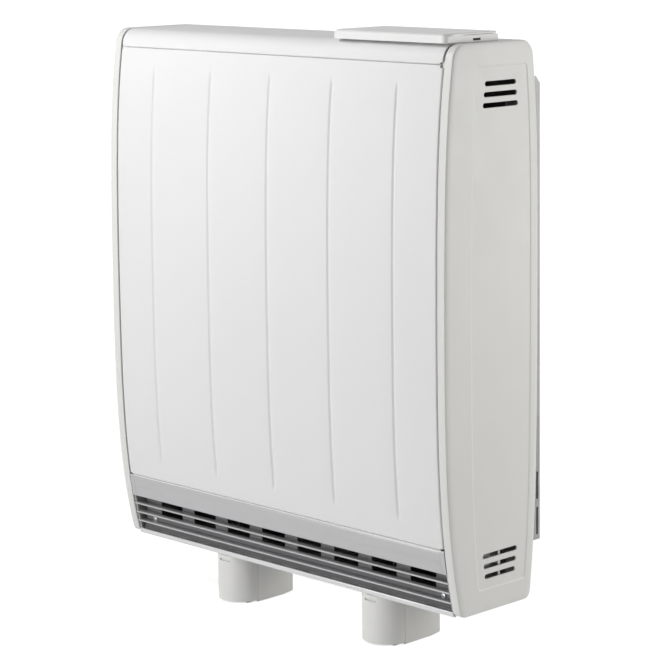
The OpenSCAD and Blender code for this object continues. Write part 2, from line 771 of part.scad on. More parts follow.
// A row of two bricks, each with half grooves for the element legs and a slot for the air.
module brick_row(row) {
  z0 = brick_z + (row - 1) * brick_h;
  color("dimgray") difference() {
    for (x = [core_x - brick_w, core_x + brick_gap])
      block([x, x + brick_w - brick_gap], [core_y - brick_d / 2, core_y + brick_d / 2],
            [z0, z0 + brick_h]);
    for (y = legs, z = [z0, z0 + brick_h])
      rod_x(core_x - brick_w - 1, core_x + brick_w + 1, y, z, groove_r);
    air_slots(z0 - 1, z0 + brick_h + 1);
  }
}
module brick_row_1() { brick_row(1); }
module brick_row_2() { brick_row(2); }
module brick_row_3() { brick_row(3); }
module brick_row_4() { brick_row(4); }
module brick_row_5() { brick_row(5); }
module brick_row_6() { brick_row(6); }

// Sheathed hairpin element: two legs, a bend at the left and a terminal stud on each leg.
module heating_element(row) {
  z = brick_z + row * brick_h;
  bend_x = core_x - brick_w - 2;
  leg_end = casing_r + sheet + 4;
  color("darkslategray") {
    for (y = legs) rod_x(bend_x, leg_end, y, z, sheath_r);
    translate([bend_x, core_y, z]) rotate(90) rotate_extrude(angle = 180, $fn = 64)
      translate([leg_gap / 2, 0]) circle(r = sheath_r, $fn = 32);
    for (y = legs) rod_x(leg_end, stud_x, y, z, stud_r);
  }
}
module heating_element_1() { heating_element(element_rows[0]); }
module heating_element_2() { heating_element(element_rows[1]); }
module heating_element_3() { heating_element(element_rows[2]); }

// Ceramic bushes that carry the element legs through the insulation and the casing.
module element_bushes() {
  color("ivory") for (row = element_rows, y = legs) difference() {
    union() {
      rod_x(casing_r - slab_w, casing_r + sheet, y, brick_z + row * brick_h, bush_r);
      rod_x(casing_r + sheet, casing_r + sheet + 3, y, brick_z + row * brick_h, bush_r + 3);
    }
    rod_x(casing_r - slab_w - 1, casing_r + 6, y, brick_z + row * brick_h, sheath_r);
  }
}

// Over-temperature cutout on the side of the core casing.
module thermal_cutout() {
  x = casing_r + sheet;
  z = brick_z + 2 * brick_h;
  color("beige") {
    block([x, x + 1], [core_y - 14, core_y + 14], [z - 9, z + 9]);
    rod_x(x + 1, x + 8, core_y, z, 8);
  }
  color("silver") for (s = [-1, 1])
    block([x + 8, x + 16], [core_y + s * 4 - 0.4, core_y + s * 4 + 0.4], [z - 3, z + 3]);
}

module core_sensor() {
  x = casing_r + sheet;
  color("silver") {
    rod_x(casing_r - slab_w, x, core_y, sensor_z, sensor_r);
    rod_x(x, x + 6, core_y, sensor_z, 6);
  }
}

// Crossflow fan housing: a scroll between two end plates that stand on the base pan.
module fan_housing() {
  y_front = duct_back + clear;
  throat = [fan_z - scroll_r, fan_z - 3];
  color("dimgray") {
    along_x(fan_x - fan_end, fan_x + fan_end) difference() {
      translate([fan_y, fan_z]) circle(r = scroll_r + 1.6, $fn = 64);
      translate([fan_y, fan_z]) circle(r = scroll_r, $fn = 64);
      translate([y_front - 6, throat[0]]) square([fan_y - y_front + 6, throat[1] - throat[0]]);
      translate([fan_y - 4, fan_z - scroll_r - 3]) square([scroll_r + 8, scroll_r + 3 - 4]);
    }
    along_x(fan_x - fan_end, fan_x + fan_end) {
      translate([y_front, throat[1]]) square([fan_y - scroll_r * 0.985 - y_front, 1.6]);
      translate([y_front, throat[0] - 1.6]) square([fan_y - 2 - y_front, 1.6]);
    }
    for (s = [-1, 1]) {
      x = fan_x + s * (fan_end + plate_t / 2);
      difference() {
        along_x(x - plate_t / 2, x + plate_t / 2)
          polygon([[y_front, pan_top], [fan_y + 6, pan_top], [fan_y + scroll_r + 2, fan_z - 6],
                   [fan_y + scroll_r + 2, fan_z + scroll_r + 3], [y_front, fan_z + scroll_r + 3]]);
        rod_x(x - 4, x + 4, fan_y, fan_z, nose_r);
      }
    }
  }
}

// Crossflow impeller: curved blades between end discs, with two stiffening discs.
module fan_impeller() {
  l = impeller_l / 2;
  blade_r = 6;
  color("black") translate([fan_x, fan_y, fan_z]) {
    difference() {
      union() {
        for (x = [-l, -l / 3, l / 3 - 1.2, l - 1.2]) rod_x(x, x + 1.2, 0, 0, impeller_r - 0.2);
        for (x = [-l, l - 8]) rod_x(x, x + 8, 0, 0, shaft_r + 3);
      }
      rod_x(-l - 1, l + 1, 0, 0, shaft_r);
    }
    along_x(-l, l) for (k = [0:blades - 1]) rotate(k * 360 / blades)
      translate([impeller_r - 4.6, blade_r]) intersection() {
        difference() {
          circle(r = blade_r + 0.4, $fn = 40);
          circle(r = blade_r - 0.4, $fn = 40);
        }
        translate([0, -blade_r - 1]) square([4, 6]);
      }
  }
}

module fan_shaft() {
  color("silver")
    rod_x(fan_x - fan_end - plate_t - 4, fan_x + fan_end + plate_t + 24, fan_y, fan_z, shaft_r);
}

// Bush for the shaft in the left end plate.
module fan_bearing() {
  x = fan_x - fan_end - plate_t;
  color("goldenrod") difference() {
    union() {
      rod_x(x, x + plate_t, fan_y, fan_z, nose_r);
      rod_x(x - 3, x, fan_y, fan_z, nose_r + 2);
    }
    rod_x(x - 4, x + plate_t + 1, fan_y, fan_z, shaft_r + running);
  }
}

// Shaded-pole motor on the right end plate; its nose carries the shaft.
module fan_motor() {
  x = fan_x + fan_end;
  color("gray") difference() {
    union() {
      rod_x(x, x + plate_t, fan_y, fan_z, nose_r);
      rod_x(x + plate_t, x + plate_t + 6, fan_y, fan_z, 12);
      block([x + plate_t + 6, x + plate_t + 24], [fan_y - 20, fan_y + 16], [fan_z - 20, fan_z + 18]);
      rod_x(x + plate_t + 24, x + plate_t + 32, fan_y, fan_z, 12);
    }
    rod_x(x - 1, x + plate_t + 26, fan_y, fan_z, shaft_r + running);
  }
}

// Mixing flap, with a sleeve round its rod; it lies under the top of the duct at rest.
module mixing_flap() {
  x = duct_x - sheet - flap_gap;
  color("silver") difference() {
    union() {
      block([-x, x], [flap_y - flap_d, flap_y - rod_r], [flap_z - 0.6, flap_z + 0.6]);
      rod_x(-x, x, flap_y, flap_z, rod_r + 1.2);
    }
    rod_x(-x - 1, x + 1, flap_y, flap_z, rod_r);
  }
}

module flap_rod() {
  color("gray") rod_x(-duct_x - 2, duct_x + 9, flap_y, flap_z, rod_r);
}

// Bimetal actuator that turns the flap's rod.
module flap_actuator() {
  color("peru") difference() {
    block([duct_x, duct_x + 12], [flap_y - 11, flap_y + 11], [flap_z - 12, flap_z + 8]);
    rod_x(duct_x - 1, duct_x + 10, flap_y, flap_z, rod_r + running);
  }
}

// Channel-shaped plate that stands the electronics off the core casing.
module electronics_plate() {
  color("silver") difference() {
    block([casing_r + sheet, plate_x + sheet], [cover_y + 14, web_y - 14], plate_z);
    block([casing_r, plate_x], [cover_y, web_y], [plate_z[0] + sheet, plate_z[1] - sheet]);
    for (y = [core_y - 12, core_y + 12]) rod_x(plate_x - 1, plate_x + 3, y, loom_z, 5);
  }
}

// Power board on four posts, with relays, a transformer and connectors.
module power_board() {
  x = plate_x + sheet;
  y = [cover_y + 22, web_y - 22];
  z = board_end;
  color("darkgreen") {
    block([x + 4, x + 5.6], y, z);
    for (a = [y[0] + 5, y[1] - 5], b = [z[0] + 6, z[1] - 6]) rod_x(x, x + 4, a, b, 2.5);
  }
  color("black") {
    for (k = [0:2])
      block([x + 5.6, x + 19], [y[0] + 8, y[0] + 22], [z[0] + 12 + k * 34, z[0] + 38 + k * 34]);
    block([x + 5.6, x + 22], [y[1] - 36, y[1] - 8], [z[1] - 48, z[1] - 14]);
    for (k = [0:3]) rod_x(x + 5.6, x + 16, y[1] - 14, z[0] + 20 + k * 14, 4.5);
    block([x + 5.6, x + 15], [core_y - 20, core_y + 20], [z[0] + 3, z[0] + 12]);
  }
}

// Supply terminal block: a body with a row of wells.
module terminal_block() {
  x = plate_x + sheet;
  z = [block_top - 40, block_top];
  ways = 3;
  color("ivory") difference() {
    block([x, x + 20], [core_y - 27, core_y + 27], z);
    for (k = [0:ways - 1]) {
      y = core_y + (k - (ways - 1) / 2) * 17;
      rod_x(x + 8, x + 21, y, z[0] + 10, 4);
      rod_x(x + 8, x + 21, y, z[1] - 10, 4);
      block([x + 4, x + 21], [y - 5, y + 5], [z[1] - 4, z[1] + 1]);
    }
  }
}

// Room sensor on a clip behind the lower vent of the right-hand cap.
module room_sensor() {
  x0 = shelf_x + sheet / 2;
  z = foot_h + vent_bottom_rise + slot_pitch;
  y = field_mid + 3;
  x1 = half_w - cap_wall - 2.5;
  color("white") {
    block([x0, x0 + 1], [y - 8, y + 8], [z - 10, z + 10]);
    block([x0 + 1, x1], [y - 2, y + 2], [z - 2, z + 2]);
    block([x1 - 1.4, x1], [y - 1.4, y + 1.4], [z - 16, z + 17]);
  }
}

// A wire through a list of points: straight runs with round elbows.
module wire(points, r) {
  for (i = [0:len(points) - 2]) {
    a = points[i];
    d = points[i + 1] - a;
    l = norm(d);
    translate(a) rotate([0, acos(d[2] / l), atan2(d[1], d[0])]) cylinder(h = l, r = r, $fn = 16);
    if (i > 0) translate(a) sphere(r = r * 1.1, $fn = 24);
  }
}

module wiring_loom() {
  x_bend = stud_x + 4.2;
  x_out = plate_x + sheet + 8;
  color("firebrick") {
    for (k = [0, 1]) {
      y = core_y + (2 * k - 1) * 12;
      difference() {
        block([stud_x - 2.4, stud_x - 0.2], [legs[k] - 3.4, legs[k] + 3.4],
              [brick_z + element_rows[0] * brick_h - 5, brick_z + element_rows[2] * brick_h + 5]);
        for (row = element_rows)
          rod_x(stud_x - 4, stud_x + 1, legs[k], brick_z + row * brick_h, stud_r);
      }
      wire([[stud_x - 0.8, legs[k] - (2 * k - 1), loom_z], [x_bend, legs[k] - (2 * k - 1), loom_z],
            [x_bend + 4, y, loom_z], [x_out, y, loom_z], [x_out, y, board_end[0] + 2.8]], wire_r);
      wire([[x_out, core_y + (2 * k - 1) * 17, block_top - 3.8],
            [x_out, core_y + (2 * k - 1) * 17, board_end[0] + 2.8]], wire_r);
    }
  }
  color("gray")
    wire([[x_out - 0.4, core_y + 6, board_end[1] - 6], [x_out - 0.4, core_y + 6, casing_top + 8],
          [cable_x, cable_y, casing_top + 8], [cable_x, cable_y, board_z - 0.2]], wire_r + 0.2);
}

// Grommet round the supply cable's entry in the back panel.
module cable_grommet() {
  color("black") difference() {
    union() {
      rod_y(web_y - 1.5, web_y, entry_x, entry_z, entry_r + 4);
      rod_y(web_y, web_y + sheet, entry_x, entry_z, entry_r + 2);
      rod_y(web_y + sheet, web_y + sheet + 3, entry_x, entry_z, entry_r + 4);
    }
    rod_y(web_y - 3, web_y + sheet + 5, entry_x, entry_z, entry_r);
  }
}

// Base of the control unit: a tray with a deck for the display and the buttons.
module control_base() {
  x0 = unit_left + 0.6;
  x1 = unit_right - 0.6;
  h = base_h;
  color("white") difference() {
    along_x(x0, x1) union() {
      translate([base_front, unit_z]) square([hinge_y - base_front, h]);
      translate([hinge_y - 1, unit_z]) square([base_rear - hinge_y + 1, hinge_z - unit_z]);
      translate([hinge_y, hinge_z]) intersection() {
        circle(r = base_rear - hinge_y, $fn = 32);
        square(5);
      }
    }
    // hollow under the deck
    block([x0 + 2, x1 - 2], [base_front + 2, hinge_y - 8], [board_z, deck_z]);
    // lowered top of the deck
    block([x0 + 4, x1 - 4], [base_front + 4, hinge_y - 8], [deck_z + deck_t, unit_top]);
    block([window_x[0] + 2, window_x[1] - 2], [window_y[0] + 2, window_y[1] - 2],
          [deck_z - 1, unit_top]);
    for (p = button_places) rod_z(deck_z - 1, unit_top, p[0], p[1], button_r + clear);
    rod_z(unit_z - 1, board_z + 1, cable_x, cable_y, 3);
    // notches for the lid's knuckles, and the bores of the hinge pins
    for (x = knuckle_x) {
      block([x - knuckle_l / 2 - 0.4, x + knuckle_l / 2 + 0.4],
            [hinge_y - 3.6, lid_back], [unit_z + 1, unit_top]);
      rod_x(x - knuckle_l / 2 - 4, x + knuckle_l / 2 + 4, hinge_y, hinge_z, pin_r);
    }
    // cable slot in the right-hand side
    block([x1 - 1.6, x1 + 1], [base_front + 16, base_front + 29], [unit_z + 1.6, unit_z + 4.2]);
  }
}

module control_board() {
  color("darkgreen")
    block([unit_left + 3, unit_right - 3], [base_front + 2.3, hinge_y - 8.3], [board_z, board_z + 1.2]);
}

module button_mat() {
  color("dimgray")
    block(mat_x, [button_y - 17, button_y + 16], [board_z + 1.2, deck_z - 1.4 - button_travel]);
}

// Display with its window, standing on the board and seen through the deck.
module display_window() {
  color("black") {
    block([window_x[0] + 3, window_x[1] - 3], [window_y[0] + 3, window_y[1] - 3],
          [board_z + 1.2, deck_z + deck_t]);
    block(window_x, window_y, [deck_z + deck_t, deck_z + deck_t + 0.8]);
  }
}

// A button: a cap through the deck and a flange that holds it in.
module button(k) {
  p = button_places[k];
  color("gainsboro") {
    rod_z(deck_z - clear, deck_z + deck_t + 0.9, p[0], p[1], button_r);
    rod_z(deck_z - clear - 0.8, deck_z - clear, p[0], p[1], button_r + 1.2);
  }
}
module back_button() { button(3); }
module minus_button() { button(2); }
module plus_button() { button(1); }
module select_button() { button(0); }
module boost_button() { button(4); }

// Lid of the control unit: a plate with a full-height rounded nose and two hinge knuckles.
module control_lid() {
  x0 = unit_left;
  x1 = unit_right - 0.2;
  r = 5;
  pockets = 4;
  pocket_l = (x1 - x0 - lid_t) / pockets;
  color("white") difference() {
    union() {
      intersection() {
        along_x(x0, x1) union() {
          hull() {
            translate([lid_front + r, unit_top - r]) circle(r = r, $fn = 48);
            translate([lid_front + 2.2, unit_z + 2.4]) circle(r = 2.2, $fn = 32);
            translate([lid_front + nose_d - 1, unit_top - 4]) square([1, 4]);
            translate([lid_front + nose_d - 1, unit_z + 0.2]) square([1, 1]);
          }
          translate([lid_front + nose_d - 1, unit_top - lid_t])
            square([lid_d - nose_d + 1 - 2, lid_t]);
          translate([lid_back - lid_t / 2 - 1, unit_top - lid_t / 2]) circle(d = lid_t, $fn = 24);
        }
        translate([0, 0, unit_z - 1]) linear_extrude(unit_h + 2)
          plan_shape([x0, x1], [lid_front, lid_back], 6);
      }
      for (x = knuckle_x) along_x(x - knuckle_l / 2, x + knuckle_l / 2) {
        translate([hinge_y, hinge_z]) circle(r = 2.4, $fn = 40);
        translate([hinge_y - 2.4, hinge_z]) square([4.6, 3.4]);
      }
    }
    for (x = knuckle_x)
      rod_x(x - knuckle_l / 2 - 1, x + knuckle_l / 2 + 1, hinge_y, hinge_z, pin_r + running);
    // the nose is hollow, with ribs between its pockets
    for (k = [0:pockets - 1])
      block([x0 + k * pocket_l + lid_t, x0 + (k + 1) * pocket_l],
            [lid_front + 5, lid_front + nose_d - lid_t], [unit_z - 1, unit_top - lid_t - 0.8]);
  }
}

// Rectangle with rounded corners, seen from above.
module plan_shape(x, y, r) {
  for (a = [x[0] + r, x[1] - r], b = [y[0] + r, y[1] - r]) translate([a, b]) circle(r = r, $fn = 48);
  translate([x[0] + r, y[0]]) square([x[1] - x[0] - 2 * r, y[1] - y[0]]);
  translate([x[0], y[0] + r]) square([x[1] - x[0], y[1] - y[0] - 2 * r]);
}

module lid_hinge_pins() {
  color("silver") for (x = knuckle_x)
    rod_x(x - knuckle_l / 2 - 3.5, x + knuckle_l / 2 + 3.5, hinge_y, hinge_z, pin_r);
}

// Plan of a foot cover: round at the front, straight-sided to the back.
module foot_plan(inset = 0) {
  r = foot_r - inset;
  intersection() {
    union() {
      translate([0, foot_front + foot_r]) circle(r = r, $fn = 96);
      translate([-r, foot_front + foot_r]) square([2 * r, foot_d]);
    }
    translate([-r, foot_front]) square([2 * r, foot_d - inset]);
  }
}

module foot_cover(x) {
  h = cover_h;
  color("white") translate([x, 0, 0]) difference() {
    linear_extrude(h) foot_plan();
    translate([0, 0, -1]) linear_extrude(h + 2) foot_plan(foot_wall);
    // notch under the casing's front edge
    block([-9.5, 9.5], [foot_front - 1, foot_front + 8], [h - 7.5, h - 5]);
    // the round front ends above the floor, and a shallow joint parts it from each side
    block([-foot_r - 1, foot_r + 1], [foot_front - 1, foot_front + foot_r], [-1, foot_rise]);
    for (s = [-1, 1])
      translate([s * foot_r, foot_front + foot_r, h / 2]) cube([0.8, 0.6, h + 2], center = true);
    // chamfer along the bottom of the back
    translate([-foot_r - 1, foot_front + foot_d, 0]) rotate([45, 0, 0])
      translate([0, -foot_wall, -foot_wall]) cube([foot_w + 2, 2 * foot_wall, 2 * foot_wall]);
  }
}
module left_foot_cover() { foot_cover(foot_x[0]); }
module right_foot_cover() { foot_cover(foot_x[1]); }

// Steel legs inside the foot covers: a floor plate, an upright and a plate under the base pan.
module leg_brackets() {
  color("slategray") for (x = foot_x) translate([x, 0, 0]) difference() {
    along_x(-leg_w / 2, leg_w / 2) {
      translate([leg_plate_y[0], 0]) square([leg_plate_y[1] - leg_plate_y[0], leg_t]);
      translate([leg_plate_y[1] - leg_t, 0]) square([leg_t, pan_z]);
      translate([leg_plate_y[0], pan_z - leg_t]) square([leg_plate_y[1] - leg_plate_y[0], leg_t]);
    }
    for (s = [-1, 1]) {
      rod_z(-1, leg_t + 1, s * floor_hole_x, floor_y, floor_hole_r);
      for (y = leg_y) rod_z(pan_z - leg_t - 1, pan_z + 1, s * leg_screw_x, y, hole_r);
    }
  }
}

// A pan-head screw along +Z, with its head above z = 0.
module screw(l) {
  cylinder(h = 2, r = 3.6, $fn = 32);
  translate([0, 0, -l]) cylinder(h = l + 0.5, r = screw_r, $fn = 24);
}

module screws() {
  color("silver") {
    for (s = [-1, 1])
      translate([s * baffle_screw_x, baffle_y, baffle_screw_z]) rotate([90, 0, 0]) screw(4);
    for (s = [-1, 1], z = lug_z)
      translate([s * lug_x, web_y + sheet, z]) rotate([-90, 0, 0]) screw(9);
    for (s = [-1, 1])
      translate([s * bracket_arm_x, web_y + sheet + 2, bracket_z]) rotate([-90, 0, 0]) screw(3.2);
    for (x = foot_x, s = [-1, 1], y = leg_y)
      translate([x + s * leg_screw_x, y, pan_z - leg_t]) rotate([180, 0, 0]) screw(6);
  }
}

left_end_cap();
right_end_cap();
front_panel();
top_panel();
outlet_grille();
outlet_baffle();
outlet_duct();
base_pan();
core_shelf();
rear_panel();
wall_bracket();
core_casing();
inner_front_cover();
front_insulation();
rear_insulation();
left_insulation();
right_insulation();
top_insulation();
base_insulation();
brick_row_1();
brick_row_2();
brick_row_3();
brick_row_4();
brick_row_5();
brick_row_6();
heating_element_1();
heating_element_2();
heating_element_3();
element_bushes();
thermal_cutout();
core_sensor();
fan_housing();
fan_impeller();
fan_shaft();
fan_bearing();
fan_motor();
mixing_flap();
flap_rod();
flap_actuator();
electronics_plate();
power_board();
terminal_block();
room_sensor();
wiring_loom();
cable_grommet();
control_base();
control_board();
button_mat();
display_window();
back_button();
minus_button();
plus_button();
select_button();
boost_button();
control_lid();
lid_hinge_pins();
left_foot_cover();
right_foot_cover();
leg_brackets();
screws();
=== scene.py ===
import json
import math
import bmesh
import bpy
from mathutils import Matrix, Vector


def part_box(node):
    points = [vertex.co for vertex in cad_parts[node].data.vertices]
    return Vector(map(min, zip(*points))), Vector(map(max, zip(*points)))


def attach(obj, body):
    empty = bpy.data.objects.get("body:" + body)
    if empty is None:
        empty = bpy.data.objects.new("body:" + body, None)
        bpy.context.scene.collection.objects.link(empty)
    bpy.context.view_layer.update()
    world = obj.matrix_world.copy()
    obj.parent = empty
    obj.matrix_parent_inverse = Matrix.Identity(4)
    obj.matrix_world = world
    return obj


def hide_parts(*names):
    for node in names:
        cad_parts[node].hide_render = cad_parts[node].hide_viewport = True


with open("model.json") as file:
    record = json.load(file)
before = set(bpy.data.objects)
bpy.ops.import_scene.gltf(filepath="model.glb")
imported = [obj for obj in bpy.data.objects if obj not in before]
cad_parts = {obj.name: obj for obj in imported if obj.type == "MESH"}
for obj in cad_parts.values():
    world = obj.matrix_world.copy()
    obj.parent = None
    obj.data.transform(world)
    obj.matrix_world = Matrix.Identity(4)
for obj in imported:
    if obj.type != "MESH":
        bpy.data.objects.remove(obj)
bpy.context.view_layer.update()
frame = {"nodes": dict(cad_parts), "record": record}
nodes = frame["nodes"]
print("frame loaded with", len(nodes), "nodes")

mm = 0.001
scene = bpy.context.scene


# Materials: small node recipes that every finish below shares
def addNode(tree, kind, settings=None, **inputs):
    made = tree.nodes.new(kind)
    for key, value in (settings or {}).items():
        setattr(made, key, value)
    for key, value in inputs.items():
        made.inputs[key.replace("_", " ")].default_value = value
    return made


def startFinish(name, colour, rough, metal=0.0):
    material = bpy.data.materials.new(name)
    material.use_nodes = True
    tree = material.node_tree
    shader = tree.nodes["Principled BSDF"]
    shader.inputs["Base Color"].default_value = (*colour, 1)
    shader.inputs["Roughness"].default_value = rough
    shader.inputs["Metallic"].default_value = metal
    place = addNode(tree, "ShaderNodeTexCoord")
    return material, tree, shader, place.outputs["Object"]


def noiseOver(tree, place, scale, detail=3.0, stretch=None):
    if stretch:
        mapping = addNode(tree, "ShaderNodeMapping", Scale=stretch)
        tree.links.new(place, mapping.inputs["Vector"])
        place = mapping.outputs["Vector"]
    noise = addNode(tree, "ShaderNodeTexNoise", Scale=scale, Detail=detail)
    tree.links.new(place, noise.inputs["Vector"])
    return noise.outputs["Fac"]


# colour that drifts a little either side of the one given
def driftColour(tree, shader, factor, colour, drift, warm=0.0):
    ramp = addNode(tree, "ShaderNodeValToRGB")
    low, high = ramp.color_ramp.elements
    low.position, high.position = 0.3, 0.7
    low.color = (*[c * (1 - drift) for c in colour], 1)
    high.color = (colour[0] * (1 + drift), colour[1] * (1 + drift), colour[2] * (1 + drift - warm), 1)
    tree.links.new(factor, ramp.inputs["Fac"])
    tree.links.new(ramp.outputs["Color"], shader.inputs["Base Color"])
    return ramp


def driftRough(tree, shader, factor, low, high):
    spread = addNode(tree, "ShaderNodeMapRange", From_Min=0.3, From_Max=0.7, To_Min=low, To_Max=high)
    tree.links.new(factor, spread.inputs["Value"])
    tree.links.new(spread.outputs["Result"], shader.inputs["Roughness"])


def bumpFrom(tree, shader, height, strength, distance, under=None):
    bump = addNode(tree, "ShaderNodeBump", Strength=strength, Distance=distance)
    tree.links.new(height, bump.inputs["Height"])
    if under:
        tree.links.new(under.outputs["Normal"], bump.inputs["Normal"])
    tree.links.new(bump.outputs["Normal"], shader.inputs["Normal"])
    return bump


# moulded plastic with a fine spark-eroded grain
def mouldedPlastic(name, colour, rough=0.42, grain=900, depth=0.05):
    material, tree, shader, place = startFinish(name, colour, rough)
    driftColour(tree, shader, noiseOver(tree, place, 6, 4), colour, 0.012, 0.006)
    driftRough(tree, shader, noiseOver(tree, place, 40, 3), rough - 0.04, rough + 0.05)
    bumpFrom(tree, shader, noiseOver(tree, place, grain, 2), depth, 0.0001)
    return material


# powder coat: a soft orange-peel surface over sheet steel
def powderCoat(name, colour, rough=0.4, metal=0.0, peel=420, depth=0.06, gloss=0.5):
    material, tree, shader, place = startFinish(name, colour, rough, metal)
    shader.inputs["Specular IOR Level"].default_value = gloss
    driftColour(tree, shader, noiseOver(tree, place, 4, 3), colour, 0.01)
    driftRough(tree, shader, noiseOver(tree, place, 30, 3), rough - 0.03, rough + 0.05)
    bumpFrom(tree, shader, noiseOver(tree, place, peel, 2), depth, 0.00015)
    return material


# zinc-coated steel: flat crystals that each take the light their own way
def galvanisedSteel(name, colour, rough=0.42):
    material, tree, shader, place = startFinish(name, colour, rough, 0.35)
    spangle = addNode(tree, "ShaderNodeTexVoronoi", Scale=75.0, Randomness=1.0)
    tree.links.new(place, spangle.inputs["Vector"])
    driftColour(tree, shader, spangle.outputs["Color"], colour, 0.09)
    driftRough(tree, shader, spangle.outputs["Color"], rough - 0.07, rough + 0.09)
    bumpFrom(tree, shader, noiseOver(tree, place, 160, 2), 0.05, 0.0001)
    return material


# plain rolled, drawn or turned metal with fine lines along one way
def drawnMetal(name, colour, rough=0.32, metal=1.0, along="x"):
    stretch = {"x": (3, 90, 90), "y": (90, 3, 90), "z": (90, 90, 3)}[along]
    material, tree, shader, place = startFinish(name, colour, rough, metal)
    lines = noiseOver(tree, place, 14, 4, stretch)
    driftColour(tree, shader, lines, colour, 0.06)
    driftRough(tree, shader, lines, rough - 0.06, rough + 0.1)
    bumpFrom(tree, shader, lines, 0.05, 0.00005)
    return material


# pressed mineral board: fibres and small pits
def fibreBoard(name, colour):
    material, tree, shader, place = startFinish(name, colour, 0.92)
    driftColour(tree, shader, noiseOver(tree, place, 130, 6), colour, 0.14, 0.03)
    bumpFrom(tree, shader, noiseOver(tree, place, 420, 5, (1, 1, 2.5)), 0.4, 0.0006)
    return material


# fired iron-oxide brick: dark body, paler specks, rough skin
def firedBrick(name, colour):
    material, tree, shader, place = startFinish(name, colour, 0.86)
    ramp = driftColour(tree, shader, noiseOver(tree, place, 260, 6), colour, 0.3)
    speck = ramp.color_ramp.elements.new(0.78)
    speck.color = (0.34, 0.29, 0.26, 1)
    bumpFrom(tree, shader, noiseOver(tree, place, 520, 6), 0.5, 0.0008)
    return material


# element sheath: alloy tube with the mottled oxide that heat leaves
def heatedTube(name, colour):
    material, tree, shader, place = startFinish(name, colour, 0.5, 0.8)
    ramp = driftColour(tree, shader, noiseOver(tree, place, 45, 5), colour, 0.2)
    straw = ramp.color_ramp.elements.new(0.62)
    straw.color = (0.33, 0.25, 0.17, 1)
    driftRough(tree, shader, noiseOver(tree, place, 80, 4), 0.4, 0.66)
    return material


# glass over a dark display, with a faint mottle in its polish
def displayGlass(name, colour):
    material, tree, shader, place = startFinish(name, colour, 0.08)
    shader.inputs["Coat Weight"].default_value = 0.6
    shader.inputs["Coat Roughness"].default_value = 0.04
    driftColour(tree, shader, noiseOver(tree, place, 30, 2), colour, 0.12)
    driftRough(tree, shader, noiseOver(tree, place, 90, 2), 0.06, 0.11)
    return material


def softRubber(name, colour, rough=0.7):
    material, tree, shader, place = startFinish(name, colour, rough)
    driftColour(tree, shader, noiseOver(tree, place, 60, 4), colour, 0.16)
    driftRough(tree, shader, noiseOver(tree, place, 200, 3), rough - 0.08, rough + 0.08)
    bumpFrom(tree, shader, noiseOver(tree, place, 900, 3), 0.12, 0.0001)
    return material


# circuit board: green mask with the tracks faintly showing through
def boardMask(name, colour):
    material, tree, shader, place = startFinish(name, colour, 0.3)
    tracks = addNode(tree, "ShaderNodeTexBrick", Scale=160.0, Mortar_Size=0.04, Brick_Width=0.9)
    tracks.inputs["Color1"].default_value = (*colour, 1)
    tracks.inputs["Color2"].default_value = (colour[0] * 1.4, colour[1] * 1.25, colour[2] * 1.3, 1)
    tracks.inputs["Mortar"].default_value = (colour[0] * 0.7, colour[1] * 0.75, colour[2] * 0.7, 1)
    tree.links.new(place, tracks.inputs["Vector"])
    tree.links.new(tracks.outputs["Color"], shader.inputs["Base Color"])
    bumpFrom(tree, shader, tracks.outputs["Fac"], 0.15, 0.0001)
    return material


colours = {
    "cap": (0.775, 0.772, 0.755),
    "panel": (0.83, 0.83, 0.83),
    "grille": (0.47, 0.47, 0.478),
    # the grille's own silver made paler for the sill: painted light
    "sill": (0.7, 0.7, 0.705),
    "baffle": (0.17, 0.17, 0.175),
    "zinc": (0.29, 0.293, 0.29),
    "unit": (0.86, 0.86, 0.855),
    "foot": (0.79, 0.785, 0.765),
}
finishes = {
    "cap_plastic": mouldedPlastic("capPlastic", colours["cap"]),
    "panel_paint": powderCoat("panelPaint", colours["panel"], gloss=0.25),
    "grille_silver": powderCoat("grilleSilver", colours["grille"], 0.36, 0.3, 700, 0.05),
    # lighter copy of the grille finish, used on the sill: painted light
    "sill_painted_light": powderCoat("sillPaintedLightFinish", colours["sill"], 0.36, 0.3, 700, 0.05),
    "baffle_steel": powderCoat("baffleSteel", colours["baffle"], 0.55, 0.0, 500, 0.1),
    "galvanised": galvanisedSteel("galvanised", colours["zinc"]),
    "insulation": fibreBoard("insulation", (0.56, 0.49, 0.38)),
    "storage_brick": firedBrick("storageBrick", (0.05, 0.042, 0.04)),
    "element_sheath": heatedTube("elementSheath", (0.16, 0.15, 0.14)),
    "bush_ceramic": mouldedPlastic("bushCeramic", (0.74, 0.70, 0.62), 0.5, 1200, 0.1),
    "bright_steel": drawnMetal("brightSteel", (0.62, 0.63, 0.64)),
    "fan_aluminium": drawnMetal("fanAluminium", (0.42, 0.43, 0.44), 0.38, 0.9),
    "bearing_brass": drawnMetal("bearingBrass", (0.58, 0.40, 0.15), 0.3),
    "motor_steel": drawnMetal("motorSteel", (0.12, 0.125, 0.13), 0.45, 0.7, "y"),
    "board_green": boardMask("boardGreen", (0.012, 0.11, 0.035)),
    "terminal_plastic": mouldedPlastic("terminalPlastic", (0.66, 0.60, 0.42), 0.5),
    "sensor_plastic": mouldedPlastic("sensorPlastic", (0.74, 0.74, 0.70), 0.5),
    "wire_sleeve": softRubber("wireSleeve", (0.24, 0.018, 0.012), 0.5),
    "black_rubber": softRubber("blackRubber", (0.022, 0.022, 0.022)),
    "unit_plastic": mouldedPlastic("unitPlastic", colours["unit"], 0.4),
    "display_glass": displayGlass("displayGlass", (0.012, 0.014, 0.014)),
    "button_plastic": mouldedPlastic("buttonPlastic", (0.50, 0.50, 0.49), 0.5),
    "foot_plastic": mouldedPlastic("footPlastic", colours["foot"]),
    "leg_paint": powderCoat("legPaint", (0.045, 0.047, 0.052), 0.45, 0.2),
}
for part in frame["record"]["subparts"]:
    cadMesh = nodes[part["node"]].data
    cadMesh.materials.clear()
    cadMesh.materials.append(finishes[part["material_slot"]])
